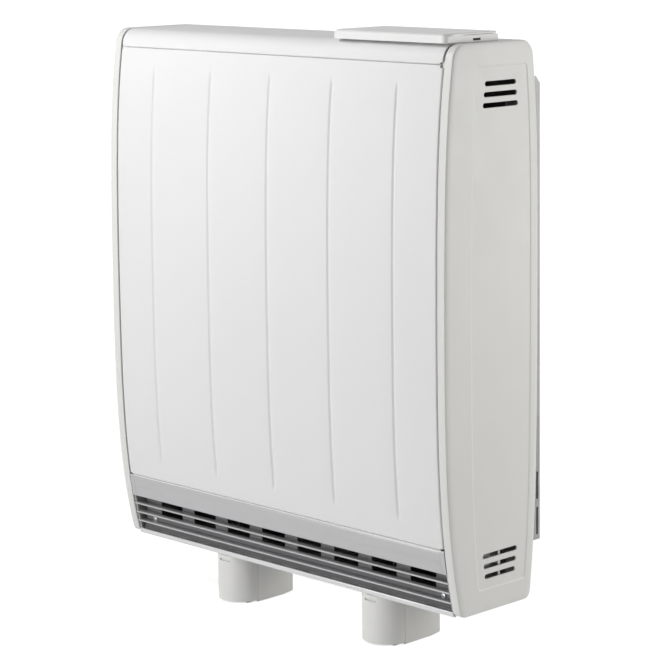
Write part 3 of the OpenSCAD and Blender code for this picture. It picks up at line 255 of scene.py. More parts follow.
print("finishes made:", len(finishes))


# Mesh helpers
def joinLoops(bm, first, second):
    for i in range(len(first)):
        j = (i + 1) % len(first)
        if first[i] is not first[j]:
            bm.faces.new((first[i], first[j], second[j], second[i]))


# each loop joined to the next
def joinAll(bm, loops):
    for first, second in zip(loops, loops[1:]):
        joinLoops(bm, first, second)


# how far a rounded edge has come in, across and along, at each angle
def roundSteps(angles):
    return [(1 - math.cos(math.radians(a)), 1 - math.sin(math.radians(a))) for a in angles]


def loopEdges(bm, loop):
    return [bm.edges.get((a, b)) or bm.edges.new((a, b)) for a, b in zip(loop, loop[1:] + loop[:1])]


# flat face between an outer loop and any holes in it
def fillFlat(bm, loops, normal):
    edges = [edge for loop in loops for edge in loopEdges(bm, loop)]
    bmesh.ops.triangle_fill(bm, use_beauty=True, edges=edges, normal=normal)


def softBox(bm, low, high, radius, steps=2):
    size = Vector(high) - Vector(low)
    centre = (Vector(high) + Vector(low)) / 2
    place = Matrix.Translation(centre) @ Matrix.Diagonal((*size, 1))
    made = bmesh.ops.create_cube(bm, size=1.0, matrix=place)
    edges = list({edge for vert in made["verts"] for edge in vert.link_edges})
    bmesh.ops.bevel(bm, geom=edges, offset=radius, segments=steps, profile=0.5, affect="EDGES")


# profile of (radius, height) pairs turned round an axis through the place
def turned(bm, profile, place, axis="z", steps=48):
    spinTo = {"z": Matrix.Identity(4), "y": Matrix.Rotation(-math.pi / 2, 4, "X"),
              "x": Matrix.Rotation(math.pi / 2, 4, "Y"), "-y": Matrix.Rotation(math.pi / 2, 4, "X"),
              "-z": Matrix.Rotation(math.pi, 4, "X")}[axis]
    move = Matrix.Translation(place) @ spinTo
    rings = []
    for radius, height in profile:
        if radius == 0:
            rings.append([bm.verts.new(move @ Vector((0, 0, height)))])
            continue
        turns = [2 * math.pi * i / steps for i in range(steps)]
        points = [Vector((radius * math.cos(a), radius * math.sin(a), height)) for a in turns]
        rings.append([bm.verts.new(move @ point) for point in points])
    for first, second in zip(rings, rings[1:]):
        if len(first) == 1 or len(second) == 1:
            tip, ring = (first[0], second) if len(first) == 1 else (second[0], first)
            for i in range(steps):
                bm.faces.new((tip, ring[i], ring[(i + 1) % steps]))
        else:
            joinLoops(bm, first, second)


def shadeByAngle(mesh, degrees):
    mesh.polygons.foreach_set("use_smooth", [True] * len(mesh.polygons))
    mesh.set_sharp_from_angle(angle=math.radians(degrees))
    mesh.update()


def applyModifiers(piece):
    evaluated = piece.evaluated_get(bpy.context.evaluated_depsgraph_get())
    mesh = bpy.data.meshes.new_from_object(evaluated)
    piece.modifiers.clear()
    old, piece.data = piece.data, mesh
    bpy.data.meshes.remove(old)
    mesh.name = piece.name


def makePiece(name, bm, body, slotName, cadNodes=(), smooth=32, thick=0.0, finish=None):
    if not thick:
        bmesh.ops.recalc_face_normals(bm, faces=bm.faces)
    mesh = bpy.data.meshes.new(name)
    bm.to_mesh(mesh)
    bm.free()
    piece = bpy.data.objects.new(name, mesh)
    scene.collection.objects.link(piece)
    mesh.materials.append(finishes[finish or slotName])
    if thick:
        shell = piece.modifiers.new("sheet", "SOLIDIFY")
        shell.thickness = thick
        shell.offset = -1
        shell.use_even_offset = True
        bpy.context.view_layer.update()
        applyModifiers(piece)
    shadeByAngle(piece.data, smooth)
    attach(piece, body)
    if cadNodes:
        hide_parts(*cadNodes)
    return piece


# The barrel shape that the caps, the panels and the grille share
capLow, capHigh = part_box("right_end_cap")
barrel = {
    "fullest": 414 * mm,      # height of the fullest point
    "bow": 6.3 * mm,          # gentle curve of the front
    "tuck": 15.4 * mm,        # tuck of the front close to its ends
    "rearBow": 2.0 * mm,
    "rearTuck": {1: 13.5 * mm, -1: 8 * mm},    # towards the top and the bottom
    "corner": {1: 20 * mm, -1: 10 * mm},       # radius at the top and the bottom
    "sheet": 1.2 * mm,
    "strip": 12.7 * mm,       # cap seen beside the front panel
}
halfHigh = (capHigh.z - capLow.z) / 2


def frontAt(z):
    b = (z - barrel["fullest"]) / halfHigh
    return capLow.y + barrel["bow"] * b ** 2 + barrel["tuck"] * b ** 4


def rearAt(z):
    b = (z - barrel["fullest"]) / halfHigh
    return capHigh.y - barrel["rearBow"] * b ** 2 - barrel["rearTuck"][1 if b > 0 else -1] * b ** 4


# direction into the casing; side is 1 on the front and -1 on the back
def inwards(curve, z, side):
    slope = (curve(z + 0.1 * mm) - curve(z - 0.1 * mm)) / (0.2 * mm)
    length = math.hypot(1, slope)
    return side / length, -side * slope / length


# arc from a curve to a level end: where it starts, its centre and its points
def cornerArc(curve, side, end, up, radius, steps):
    z = end - up * radius
    for _ in range(30):
        z = end - up * radius - radius * inwards(curve, z, side)[1]
    ny, nz = inwards(curve, z, side)
    centre = (curve(z) + radius * ny, z + radius * nz)
    start, stop = math.atan2(nz, ny), math.atan2(-up, 0)
    turn = (stop - start + math.pi) % (2 * math.pi) - math.pi
    points = []
    for i in range(steps + 1):
        a = start + turn * i / steps
        ny, nz = math.cos(a), math.sin(a)
        points.append((centre[0] - radius * ny, centre[1] - radius * nz, ny, nz))
    return z, centre, points


def alongCurve(curve, side, z0, z1, count):
    places = [z0 + (z1 - z0) * i / count for i in range(count + 1)]
    return [(curve(z), z, *inwards(curve, z, side)) for z in places]


# closed side outline as (y, z, inward y, inward z)
def sideOutline(front, rear, low, high, radius, counts=(72, 12, 8, 48)):
    long, bend, flat, back = counts
    frontLow, _, lowFront = cornerArc(front, 1, low, -1, radius[-1], bend)
    frontHigh, _, highFront = cornerArc(front, 1, high, 1, radius[1], bend)
    rearLow, _, lowRear = cornerArc(rear, -1, low, -1, radius[-1], bend)
    rearHigh, _, highRear = cornerArc(rear, -1, high, 1, radius[1], bend)
    points = alongCurve(front, 1, frontLow, frontHigh, long)[:-1]
    points += highFront
    ys = (highFront[-1][0], highRear[-1][0])
    points += [(ys[0] + (ys[1] - ys[0]) * i / flat, high, 0, -1) for i in range(1, flat)]
    points += highRear[::-1]
    points += alongCurve(rear, -1, rearHigh, rearLow, back)[1:-1]
    points += lowRear
    ys = (lowRear[-1][0], lowFront[-1][0])
    points += [(ys[0] + (ys[1] - ys[0]) * i / flat, low, 0, 1) for i in range(1, flat)]
    points += lowFront[::-1][:-1]
    return points


# End caps: moulded shells with a soft edge, a shallow field and two rows of vents
endCap = {
    "wall": 2.5 * mm,
    "edgeAcross": 2.2 * mm,    # the edge turns tightly in front and softly into the side
    "edgeDeep": 9 * mm,
    "rim": 0.6 * mm,           # rounding of the rim beside the panels
    "fieldDepth": 0.8 * mm,
    "fieldFront": 44 * mm,
    "fieldRear": 14 * mm,
    "fieldEnd": 27 * mm,
    "fieldSlope": 2.6 * mm,    # width of the soft step round the field
    "slotHigh": 5.6 * mm,
    "slotLong": 59.5 * mm,
    "slotStep": 3.4 * mm,
    "slotPitch": 12.2 * mm,
    "topDrop": 46.5 * mm,
    "bottomRise": 41.5 * mm,
    "slotY": 1.1 * mm,
    "lip": 0.5 * mm,
    "hold": 0.5 * mm,          # flat border that keeps the shading of wide faces even
    "lugs": (160 * mm, 400 * mm, 640 * mm),
    "lugLong": 18 * mm,
    "lugDeep": 12 * mm,
    "lugHalf": 7 * mm,
    "lugSoft": 0.5 * mm,
    "spigotLow": 150 * mm,
    "spigotOut": 11 * mm,      # reach behind the panels
    "spigotIn": 4 * mm,        # reach into the cap
    "spigotDeep": (2 * mm, 3.6 * mm, 5.2 * mm),
    "spigotPoints": 88,        # points of the outline that it follows, up the front and over the corner
}


def slotLoop(bm, x, slot, grow):
    y, z, length = slot
    radius = endCap["slotHigh"] / 2 + grow
    half = (length - endCap["slotHigh"]) / 2
    loop = []
    for start, shift in ((-90, half), (90, -half)):
        for i in range(13):
            a = math.radians(start + 15 * i)
            loop.append(bm.verts.new((x, y + shift + radius * math.cos(a), z + radius * math.sin(a))))
    return loop


def buildCap(name, side):
    c = endCap
    bm = bmesh.new()
    outline = sideOutline(frontAt, rearAt, capLow.z, capHigh.z, barrel["corner"])
    xOut = capHigh.x
    xIn = xOut - barrel["strip"]

    def ring(points, x, inset):
        return [bm.verts.new((x, y + inset * ny, z + inset * nz)) for y, z, ny, nz in points]

    steps = [(xOut - c["wall"], c["wall"]), (xIn, c["wall"])]
    steps += [(xIn + c["rim"] * i, c["rim"] * j) for i, j in roundSteps((0, 30, 60, 90))]
    turns = (0, 5, 10, 15, 20, 26, 33, 41, 50, 60, 70, 80, 90)
    steps += [(xOut - c["edgeAcross"] * j, c["edgeDeep"] * i) for i, j in roundSteps(turns)]
    steps.append((xOut, c["edgeDeep"] + c["hold"]))
    rings = [ring(outline, x, inset) for x, inset in steps]
    joinAll(bm, rings)

    # shallow field with a soft step round it
    field = sideOutline(
        lambda z: capLow.y + c["fieldFront"] + 0.6 * (frontAt(z) - capLow.y),
        lambda z: rearAt(z) - c["fieldRear"],
        capLow.z + c["fieldEnd"], capHigh.z - c["fieldEnd"], {1: 4 * mm, -1: 4 * mm}, (40, 6, 6, 40))
    half = c["fieldSlope"] / 2
    steps = [(xOut, -half - c["hold"])]
    for i in range(7):
        t = i / 6
        steps.append((xOut - c["fieldDepth"] * t * t * (3 - 2 * t), half * (2 * t - 1)))
    steps.append((xOut - c["fieldDepth"], half + c["hold"]))
    fieldRings = [ring(field, x, inset) for x, inset in steps]
    joinAll(bm, fieldRings)
    fillFlat(bm, [rings[-1], fieldRings[0]], (1, 0, 0))

    # vents with rounded lips, right through the wall
    slots = []
    for k in range(3):
        length = c["slotLong"] - (2 - k) * c["slotStep"]
        slots.append((c["slotY"], capHigh.z - c["topDrop"] - k * c["slotPitch"], length))
        slots.append((c["slotY"], capLow.z + c["bottomRise"] + k * c["slotPitch"], length))
    xField = xOut - c["fieldDepth"]
    outerLoops, innerLoops = [], []
    for slot in slots:
        steps = [(xField, c["lip"] + c["hold"])]
        steps += [(xField - c["lip"] * i, c["lip"] * j) for i, j in roundSteps((0, 30, 60, 90))]
        steps.append((xOut - c["wall"], 0))
        loops = [slotLoop(bm, x, slot, grow) for x, grow in steps]
        joinAll(bm, loops)
        outerLoops.append(loops[0])
        innerLoops.append(loops[-1])
    fillFlat(bm, [fieldRings[-1]] + outerLoops, (1, 0, 0))
    fillFlat(bm, [rings[0]] + innerLoops, (-1, 0, 0))

    # spigot behind the edges of the front and top panels
    near, mid, deep = c["spigotDeep"]
    x0, x1 = xIn - c["spigotOut"], xIn + c["spigotIn"]
    corners = ((x0, mid), (xIn, mid), (xIn, near), (x1, near), (x1, deep), (x0, deep))
    run = [p for p in outline[:c["spigotPoints"]] if p[1] > c["spigotLow"]]
    loops = [[bm.verts.new((x, y + d * ny, z + d * nz)) for x, d in corners] for y, z, ny, nz in run]
    joinAll(bm, loops)
    bm.faces.new(loops[0])
    bm.faces.new(loops[-1])

    # lugs that the back panel screws to
    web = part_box("rear_insulation")[1].y
    for z in c["lugs"]:
        softBox(bm, (xIn - c["lugLong"], web - c["lugDeep"], z - c["lugHalf"]),
                (xOut - c["wall"], web, z + c["lugHalf"]), c["lugSoft"])
    if side < 0:
        bm.transform(Matrix.Diagonal((-1, 1, 1, 1)))
    makePiece(name, bm, "heater", "cap_plastic", [name.replace("_shell", "_end_cap")], 30)


buildCap("left_shell", -1)
buildCap("right_shell", 1)
print("end caps built")


# Rows of a sheet given as (y, z, inward y, inward z), crossed by columns in x
def sheetGrid(bm, rows, columns, depthAt, keep):
    grid = []
    for r, (y, z, ny, nz) in enumerate(rows):
        depths = [depthAt(x, z, r) for x in columns]
        grid.append([bm.verts.new((x, y + d * ny, z + d * nz)) for x, d in zip(columns, depths)])
    for r in range(len(rows) - 1):
        for k in range(len(columns) - 1):
            if keep(r, (columns[k] + columns[k + 1]) / 2):
                bm.faces.new((grid[r][k], grid[r][k + 1], grid[r + 1][k + 1], grid[r + 1][k]))
    loose = [vert for vert in bm.verts if not vert.link_faces]
    bmesh.ops.delete(bm, geom=loose, context="VERTS")


def sideRoll(x, edge, radius):
    over = abs(x) - (edge - radius)
    return radius - math.sqrt(max(radius ** 2 - over ** 2, 0)) if over > 0 else 0.0


# columns of both rolled sides
def sideColumns(edge, radius):
    turns = [math.radians(a) for a in (0, 15, 30, 45, 60, 75, 90)]
    return [side * (edge - radius + radius * math.sin(a)) for side in (-1, 1) for a in turns]


# Front panel: bowed sheet with pressed grooves, rolled sides and folded ends
frontPanel = {
    "grooves": 5,
    "pitch": 104.3 * mm,
    "grooveWide": 6.8 * mm,
    "grooveDeep": 2.0 * mm,
    "grooveLow": 169 * mm,
    "grooveHigh": 673 * mm,
    "fade": 5 * mm,           # run-out at each end of a groove
    "bend": 2.2 * mm,
    "gap": 0.9 * mm,          # dark line beside each cap
    "fold": 9 * mm,
    "foldEnd": 262 * mm,      # folds stop short of the caps
    "cutWide": 4.5 * mm,      # small cut in each top corner
    "cutHigh": 3 * mm,
}


def buildFrontPanel():
    f = frontPanel
    low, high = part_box("front_panel")
    edge = high.x - f["gap"]
    bm = bmesh.new()
    zLow, _, lowArc = cornerArc(frontAt, 1, low.z, -1, f["bend"], 6)
    zHigh, _, highArc = cornerArc(frontAt, 1, high.z, 1, f["bend"], 6)
    yLow, yHigh = lowArc[-1][0], highArc[-1][0]
    rows = [(yLow + f["fold"] * (1 - i / 2), low.z, 0, 1) for i in range(2)]
    rows += lowArc[::-1]
    foldLow = len(rows) - 1
    cutZ = high.z - f["cutHigh"]
    rows += alongCurve(frontAt, 1, zLow, cutZ, 120)[1:]
    foldHigh = len(rows) - 1
    rows += alongCurve(frontAt, 1, cutZ, zHigh, 2)[1:-1]
    rows += highArc
    rows += [(yHigh + f["fold"] * i / 2, high.z, 0, -1) for i in range(1, 3)]
    lines = [(k - (f["grooves"] - 1) / 2) * f["pitch"] for k in range(f["grooves"])]
    half = f["grooveWide"] / 2
    columns = sideColumns(edge, f["bend"])
    columns += [line + half * (i / 6 - 1) for line in lines for i in range(13)]
    cutX = edge - f["cutWide"]
    columns += [-cutX, -f["foldEnd"], f["foldEnd"], cutX]
    grooveEdges = [x for line in lines for x in (line - half, line + half)]
    spans = [-edge + f["bend"]] + grooveEdges + [edge - f["bend"]]
    for a, b in zip(spans[::2], spans[1::2]):
        columns += [a + (b - a) * i / 6 for i in range(1, 6)]
    columns = sorted(set(round(x, 7) for x in columns))

    def depthAt(x, z, r):
        depth = sideRoll(x, edge, f["bend"])
        reach = min(abs(x - line) for line in lines) / half
        if reach < 1:
            inside = min(z - f["grooveLow"], f["grooveHigh"] - z) / f["fade"]
            run = max(0.0, min(1.0, inside))
            depth += f["grooveDeep"] * 0.5 * (1 + math.cos(math.pi * reach)) * run * run * (3 - 2 * run)
        return depth

    def keep(r, x):
        folded = r < foldLow or r >= foldHigh
        flange = r < 2 or r >= len(rows) - 3
        return abs(x) < (f["foldEnd"] if flange else cutX if folded else 1)

    sheetGrid(bm, rows, columns, depthAt, keep)
    makePiece("front_skin", bm, "heater", "panel_paint", ["front_panel"], 40, barrel["sheet"])


buildFrontPanel()


# Top panel: from the seam over the top front corner to a fold at the back
topPanel = {
    "bend": 2.2 * mm,
    "fold": 9 * mm,
    "rearFold": 12 * mm,
    "foldEnd": 262 * mm,
    "notch": 270 * mm,
    "sideBend": 0.8 * mm,
    "spread": 255 * mm,        # half the width that the even columns cover
}


def buildTopPanel():
    t = topPanel
    low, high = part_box("top_panel")
    edge = high.x
    bm = bmesh.new()
    zSeam, _, seamArc = cornerArc(frontAt, 1, low.z, -1, t["bend"], 6)
    zTurn, _, turnArc = cornerArc(frontAt, 1, high.z, 1, barrel["corner"][1], 16)
    rows = [(seamArc[-1][0] + t["fold"] * (1 - i / 2), low.z, 0, 1) for i in range(2)]
    rows += seamArc[::-1]
    foldLow = len(rows) - 1
    rows += alongCurve(frontAt, 1, zSeam, zTurn, 6)[1:-1]
    rows += turnArc
    yTurn, yBack = turnArc[-1][0], high.y - t["bend"]
    rows += [(yTurn + (yBack - yTurn) * i / 12, high.z, 0, -1) for i in range(1, 12)]
    for i in range(7):
        a = math.radians(15 * i)
        drop = t["bend"] * (1 - math.cos(a))
        rows.append((yBack + t["bend"] * math.sin(a), high.z - drop, -math.sin(a), -math.cos(a)))
    rows += [(high.y, high.z - t["bend"] - t["rearFold"] * i / 2, -1, 0) for i in range(1, 3)]
    columns = sideColumns(edge, t["sideBend"])
    columns += [s * x for s in (-1, 1) for x in (t["foldEnd"], t["notch"])]
    columns += [(i / 12 - 1) * t["spread"] for i in range(25)]
    columns = sorted(set(round(x, 7) for x in columns))

    def keep(r, x):
        if r < 2:
            return abs(x) < t["foldEnd"]
        return abs(x) < t["notch"] if r < foldLow else True

    sheetGrid(bm, rows, columns, lambda x, z, r: sideRoll(x, edge, t["sideBend"]), keep)
    makePiece("top_skin", bm, "heater", "panel_paint", ["top_panel"], 40, barrel["sheet"])


buildTopPanel()
print("panels built")


# Back panel: web, top fold and two flanges with lifting slots that stand it off the wall
backPanel = {
    "sheet": 1.2 * mm,
    "bend": 1.5 * mm,
    "webY": 56.2 * mm,
    "foldZ": 705.7 * mm,
    "inboard": 3.5 * mm,       # flanges stand this far inside the ends of the web
    "lean": 3 * mm,            # their edge comes away from the wall towards the top
    "return": 15 * mm,
    "cut": 8 * mm,             # corner cut at the top
    "flangeZ": (123.5 * mm, 675 * mm),
    "slotZ": (146.5 * mm, 189.5 * mm),
    "slotLong": 34 * mm,
    "slotWide": 3.6 * mm,
    "slotBack": 5.8 * mm,
    "entry": (230.3 * mm, 113 * mm, 7 * mm),
    "lugX": 267.6 * mm,
    "armHole": (210 * mm, 620 * mm),
    "hole": 2 * mm,
}


def circle(x, z, radius, steps=24):
    turns = [2 * math.pi * i / steps for i in range(steps)]
    return [(x + radius * math.cos(a), z + radius * math.sin(a)) for a in turns]


# edge of a flange towards the wall
def wallEdge(z):
    low, high = backPanel["flangeZ"]
    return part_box("rear_panel")[1].y - backPanel["lean"] * (z - low) / (high - low)


def buildFlange(bm, side):
    b = backPanel
    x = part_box("rear_panel")[1].x - b["inboard"]
    low, high = b["flangeZ"]
    r = b["bend"]
    cutZ = high - b["cut"]
    outline = [(b["webY"], low), (wallEdge(low) - r, low), (wallEdge(cutZ) - r, cutZ),
               (wallEdge(high) - b["cut"], high), (b["webY"], high)]
    loop = [bm.verts.new((side * x, y, z)) for y, z in outline]
    holes = []
    half = (b["slotLong"] - b["slotWide"]) / 2
    for z in b["slotZ"]:
        y = wallEdge(z) - b["slotBack"]
        shape = []
        for i, (py, pz) in enumerate(circle(y, z, b["slotWide"] / 2, 24)):
            shift = half if pz > z + 1e-9 or i == 0 else -half
            shape.append(bm.verts.new((side * x, py, pz + shift)))
        holes.append(shape)
    fillFlat(bm, [loop] + holes, (side, 0, 0))
    last = (loop[1], loop[2])
    for i in range(1, 7):
        a = math.radians(15 * i)
        across, back = r - r * math.cos(a), r - r * math.sin(a)
        run = [bm.verts.new((side * (x - across), wallEdge(z) - back, z)) for z in (low, cutZ)]
        bm.faces.new((last[0], last[1], run[1], run[0]))
        last = run
    run = [bm.verts.new((side * (x - b["return"]), wallEdge(z), z)) for z in (low, cutZ)]
    bm.faces.new((last[0], last[1], run[1], run[0]))


def buildBackPanel():
    b = backPanel
    low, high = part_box("rear_panel")
    x, y, r = high.x - 0.2 * mm, b["webY"], b["bend"]
    outer = [(-x, low.z), (x, low.z), (x, b["foldZ"] - r), (-x, b["foldZ"] - r)]
    bm = bmesh.new()
    loop = [bm.verts.new((px, y, pz)) for px, pz in outer]
    rounds = [circle(*b["entry"])]
    for side in (-1, 1):
        rounds += [circle(side * b["lugX"], z, b["hole"], 16) for z in endCap["lugs"]]
        rounds.append(circle(side * b["armHole"][0], b["armHole"][1], b["hole"], 16))
    holes = [[bm.verts.new((px, y, pz)) for px, pz in shape] for shape in rounds]
    fillFlat(bm, [loop] + holes, (0, 1, 0))
    last = (loop[3], loop[2])
    turns = [math.radians(15 * i) for i in range(1, 7)]
    ends = [(y - r + r * math.cos(a), b["foldZ"] - r + r * math.sin(a)) for a in turns]
    ends.append((low.y, b["foldZ"]))
    for py, pz in ends:
        run = [bm.verts.new((-x, py, pz)), bm.verts.new((x, py, pz))]
        bm.faces.new((last[0], last[1], run[1], run[0]))
        last = run
    parts = [list(bm.faces)]
    for side in (-1, 1):
        before = set(bm.faces)
        buildFlange(bm, side)
        parts.append([f for f in bm.faces if f not in before])
    # every sheet faces outwards before it gets its thickness
    for faces, way in zip(parts, (Vector((0, 1, 0)), Vector((-1, 0, 0)), Vector((1, 0, 0)))):
        bmesh.ops.recalc_face_normals(bm, faces=faces)
        if sum(f.normal.dot(way) * f.calc_area() for f in faces) < 0:
            bmesh.ops.reverse_faces(bm, faces=faces)
    makePiece("back_sheet", bm, "heater", "galvanised", ["rear_panel"], 30, b["sheet"])


buildBackPanel()


# Grille: band, fins and sill that clip in between two thin cheeks
grille = {
    "deep": 2.5 * mm,
    "cheek": 2.2 * mm,
    "cheekBack": 2.2 * mm,
    "joint": 7 * mm,           # end piece of the band beyond its joint
    "bandLow": 113.7 * mm,
    "sillHigh": 67.7 * mm,
    "fins": 3,
    "finHigh": 2.4 * mm,
    "finDeep": 7 * mm,
    "play": 0.2 * mm,
    "lip": 1.4 * mm,           # set-back lip along the top of the band
    "lipBack": 0.3 * mm,
    "lipShort": 5 * mm,
    "soft": 0.5 * mm,
}


# section of a bar with its four corners rounded, as (y, z)
def softSection(low, high, frontOf, deep, soft, lift=None):
    rise = soft if lift is None else lift
    points = []
    for i in range(9):
        z = low + soft + (high - low - soft - rise) * i / 8
        points.append((frontOf(z), z))
    for a in (30, 60, 90):
        s, c = math.sin(math.radians(a)), math.cos(math.radians(a))
        points.append((frontOf(high - rise) + rise * (1 - c), high - rise * (1 - s)))
    yHigh, yLow = frontOf(high) + deep, frontOf(low) + deep
    points += [(yHigh - soft / 2, high), (yHigh, high - soft / 2)]
    points += [(yLow, low + soft / 2), (yLow - soft / 2, low)]
    for a in (90, 60, 30):
        s, c = math.sin(math.radians(a)), math.cos(math.radians(a))
        points.append((frontOf(low + soft) + soft * (1 - c), low + soft * (1 - s)))
    return points


# bar along x with slightly eased ends
def barAlong(bm, section, x0, x1, ease=0.3 * mm, parts=1):
    cy = sum(y for y, z in section) / len(section)
    cz = sum(z for y, z in section) / len(section)
    spans = [(x0, 1), (x0 + ease, 0)] + [(x0 + (x1 - x0) * i / parts, 0) for i in range(1, parts)]
    spans += [(x1 - ease, 0), (x1, 1)]
    loops = []
    for x, end in spans:
        loop = []
        for y, z in section:
            away = math.hypot(y - cy, z - cz)
            k = 1 - end * min(ease, away * 0.5) / max(away, 1e-6)
            loop.append(bm.verts.new((x, cy + (y - cy) * k, cz + (z - cz) * k)))
        loops.append(loop)
    joinAll(bm, loops)
    fillFlat(bm, [loops[0]], (-1, 0, 0))
    fillFlat(bm, [loops[-1]], (1, 0, 0))


def buildGrille():
    g = grille
    low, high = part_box("outlet_grille")
    ends = (-high.x + g["play"], high.x - g["play"])
    bm = bmesh.new()

    def setBack(z):
        return frontAt(z) + g["cheekBack"]

    def lipFront(z):
        return frontAt(z) + g["lipBack"]

    cheek = softSection(low.z, high.z, setBack, g["deep"], 0.3 * mm)
    for x0, x1 in ((-high.x, -high.x + g["cheek"]), (high.x - g["cheek"], high.x)):
        barAlong(bm, cheek, x0, x1, 0.2 * mm)
    band = softSection(g["bandLow"], high.z - g["lip"], frontAt, g["deep"], g["soft"])
    tall = softSection(g["bandLow"], high.z, frontAt, g["deep"], g["soft"])
    joints = (ends[0] + g["joint"], ends[1] - g["joint"])
    lips = (ends[0] + g["lipShort"], ends[1] - g["lipShort"])
    barAlong(bm, tall, ends[0], lips[0], 0.15 * mm)
    barAlong(bm, band, lips[0], joints[0] - 0.1 * mm, 0.1 * mm)
    barAlong(bm, band, joints[0] + 0.1 * mm, joints[1] - 0.1 * mm, 0.2 * mm)
    barAlong(bm, band, joints[1] + 0.1 * mm, lips[1], 0.1 * mm)
    barAlong(bm, tall, lips[1], ends[1], 0.15 * mm)
    gap = (g["bandLow"] - g["sillHigh"] - g["fins"] * g["finHigh"]) / (g["fins"] + 1)
    for k in range(g["fins"]):
        z = g["sillHigh"] + gap + g["finHigh"] / 2 + k * (gap + g["finHigh"])
        r = g["finHigh"] / 2
        y = frontAt(z) + r + 0.2 * mm
        turns = [math.radians(a) for a in range(-90, 91, 15)]
        section = [(y - r * math.cos(a), z + r * math.sin(a)) for a in turns]
        section += [(y + g["finDeep"] - 0.4 * mm, z + r), (y + g["finDeep"], z + r - 0.4 * mm),
                    (y + g["finDeep"], z - r + 0.4 * mm), (y + g["finDeep"] - 0.4 * mm, z - r)]
        barAlong(bm, section, *ends, 0.2 * mm)
    makePiece("grille_bars", bm, "heater", "grille_silver", ["outlet_grille"], 34)

    # the sill and the trim over the band are pieces of their own, one pale grey and one white; the sill's
    # pale grey is a lighter copy of the grille's own silver, painted light that makes the sill read as lit,
    # and the trim's white is a painted highlight along the band's top edge
    bm = bmesh.new()
    barAlong(bm, softSection(low.z, g["sillHigh"], frontAt, g["deep"], 0.9 * mm), *ends, 0.2 * mm)
    # the sill takes the paler copy of the grille's silver: painted light
    makePiece("grille_sill", bm, "heater", "grille_silver", (), 34, finish="sill_painted_light")
    # the grille's top lip in the panel's white paint: a painted highlight, the bright line of light along the
    # band's top edge
    bm = bmesh.new()
    lip = softSection(high.z - g["lip"] - 0.2 * mm, high.z, lipFront, g["deep"] - g["lipBack"], 0.3 * mm)
    barAlong(bm, lip, lips[0] + 0.2 * mm, lips[1] - 0.2 * mm, 0.1 * mm)
    makePiece("band_trim_painted_highlight", bm, "heater", "panel_paint", (), 34)


buildGrille()


# Baffle behind the grille: two rows of punched holes over a slope to the sill
baffle = {
    "thick": 1.0 * mm,
    "holes": 8,
    "end": 29.9 * mm,
    "web": 22.4 * mm,
    "holeHigh": 8.3 * mm,
    "holeCorner": 2.2 * mm,
    "rows": (104.7 * mm, 92.6 * mm),
    "bendZ": 75.4 * mm,
}


def roundedRect(x0, x1, z0, z1, radius, steps=5):
    points = []
    corners = ((x1 - radius, z1 - radius, 0), (x0 + radius, z1 - radius, 90),
               (x0 + radius, z0 + radius, 180), (x1 - radius, z0 + radius, 270))
    for cx, cz, start in corners:
        for i in range(steps + 1):
            a = math.radians(start + 90 * i / steps)
            points.append((cx + radius * math.cos(a), cz + radius * math.sin(a), math.cos(a), math.sin(a)))
    return points


def buildBaffle():
    b = baffle
    low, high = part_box("outlet_baffle")
    face = high.y - b["thick"]
    bm = bmesh.new()
    pitch = (2 * (high.x - b["end"]) + b["web"]) / b["holes"]
    wide = pitch - b["web"]
    outer = [(high.x, b["bendZ"]), (high.x, high.z), (low.x, high.z), (low.x, b["bendZ"])]
    frontLoop = [bm.verts.new((x, face, z)) for x, z in outer]
    holes = []
    for z in b["rows"]:
        for k in range(b["holes"]):
            x = (k - (b["holes"] - 1) / 2) * pitch
            rise = b["holeHigh"] / 2
            shape = roundedRect(x - wide / 2, x + wide / 2, z - rise, z + rise, b["holeCorner"])
            holes.append([bm.verts.new((px, face, pz)) for px, pz, _, _ in shape])
    fillFlat(bm, [frontLoop] + holes, (0, -1, 0))
    slope = [(face - 0.9 * mm, b["bendZ"] - 0.5 * mm), (low.y + 0.6 * mm, low.z + 0.5 * mm), (low.y, low.z)]
    last = [frontLoop[3], frontLoop[0]]
    for y, z in slope:
        row = [bm.verts.new((low.x, y, z)), bm.verts.new((high.x, y, z))]
        bm.faces.new((last[0], last[1], row[1], row[0]))
        last = row
    bmesh.ops.recalc_face_normals(bm, faces=bm.faces)
    if sum(f.normal.y for f in bm.faces) > 0:
        bmesh.ops.reverse_faces(bm, faces=bm.faces)
    makePiece("punched_baffle", bm, "heater", "baffle_steel", ["outlet_baffle"], 25, b["thick"])


buildBaffle()
print("grille and baffle built")


# Foot covers: round-fronted shells with a slot under the casing and a cut heel
foot = {
    "wall": 2.5 * mm,
    "soft": 0.8 * mm,
    "slotHalf": 9.5 * mm,
    "slotDrop": 7.5 * mm,
    "slotHigh": 2.5 * mm,
    "rise": 2 * mm,            # the round front ends this far above the floor
    "jointWide": 0.8 * mm,     # groove between the round front and each side
    "jointDeep": 0.5 * mm,
    "heel": 4 * mm,
    "rearCorner": 2 * mm,
}


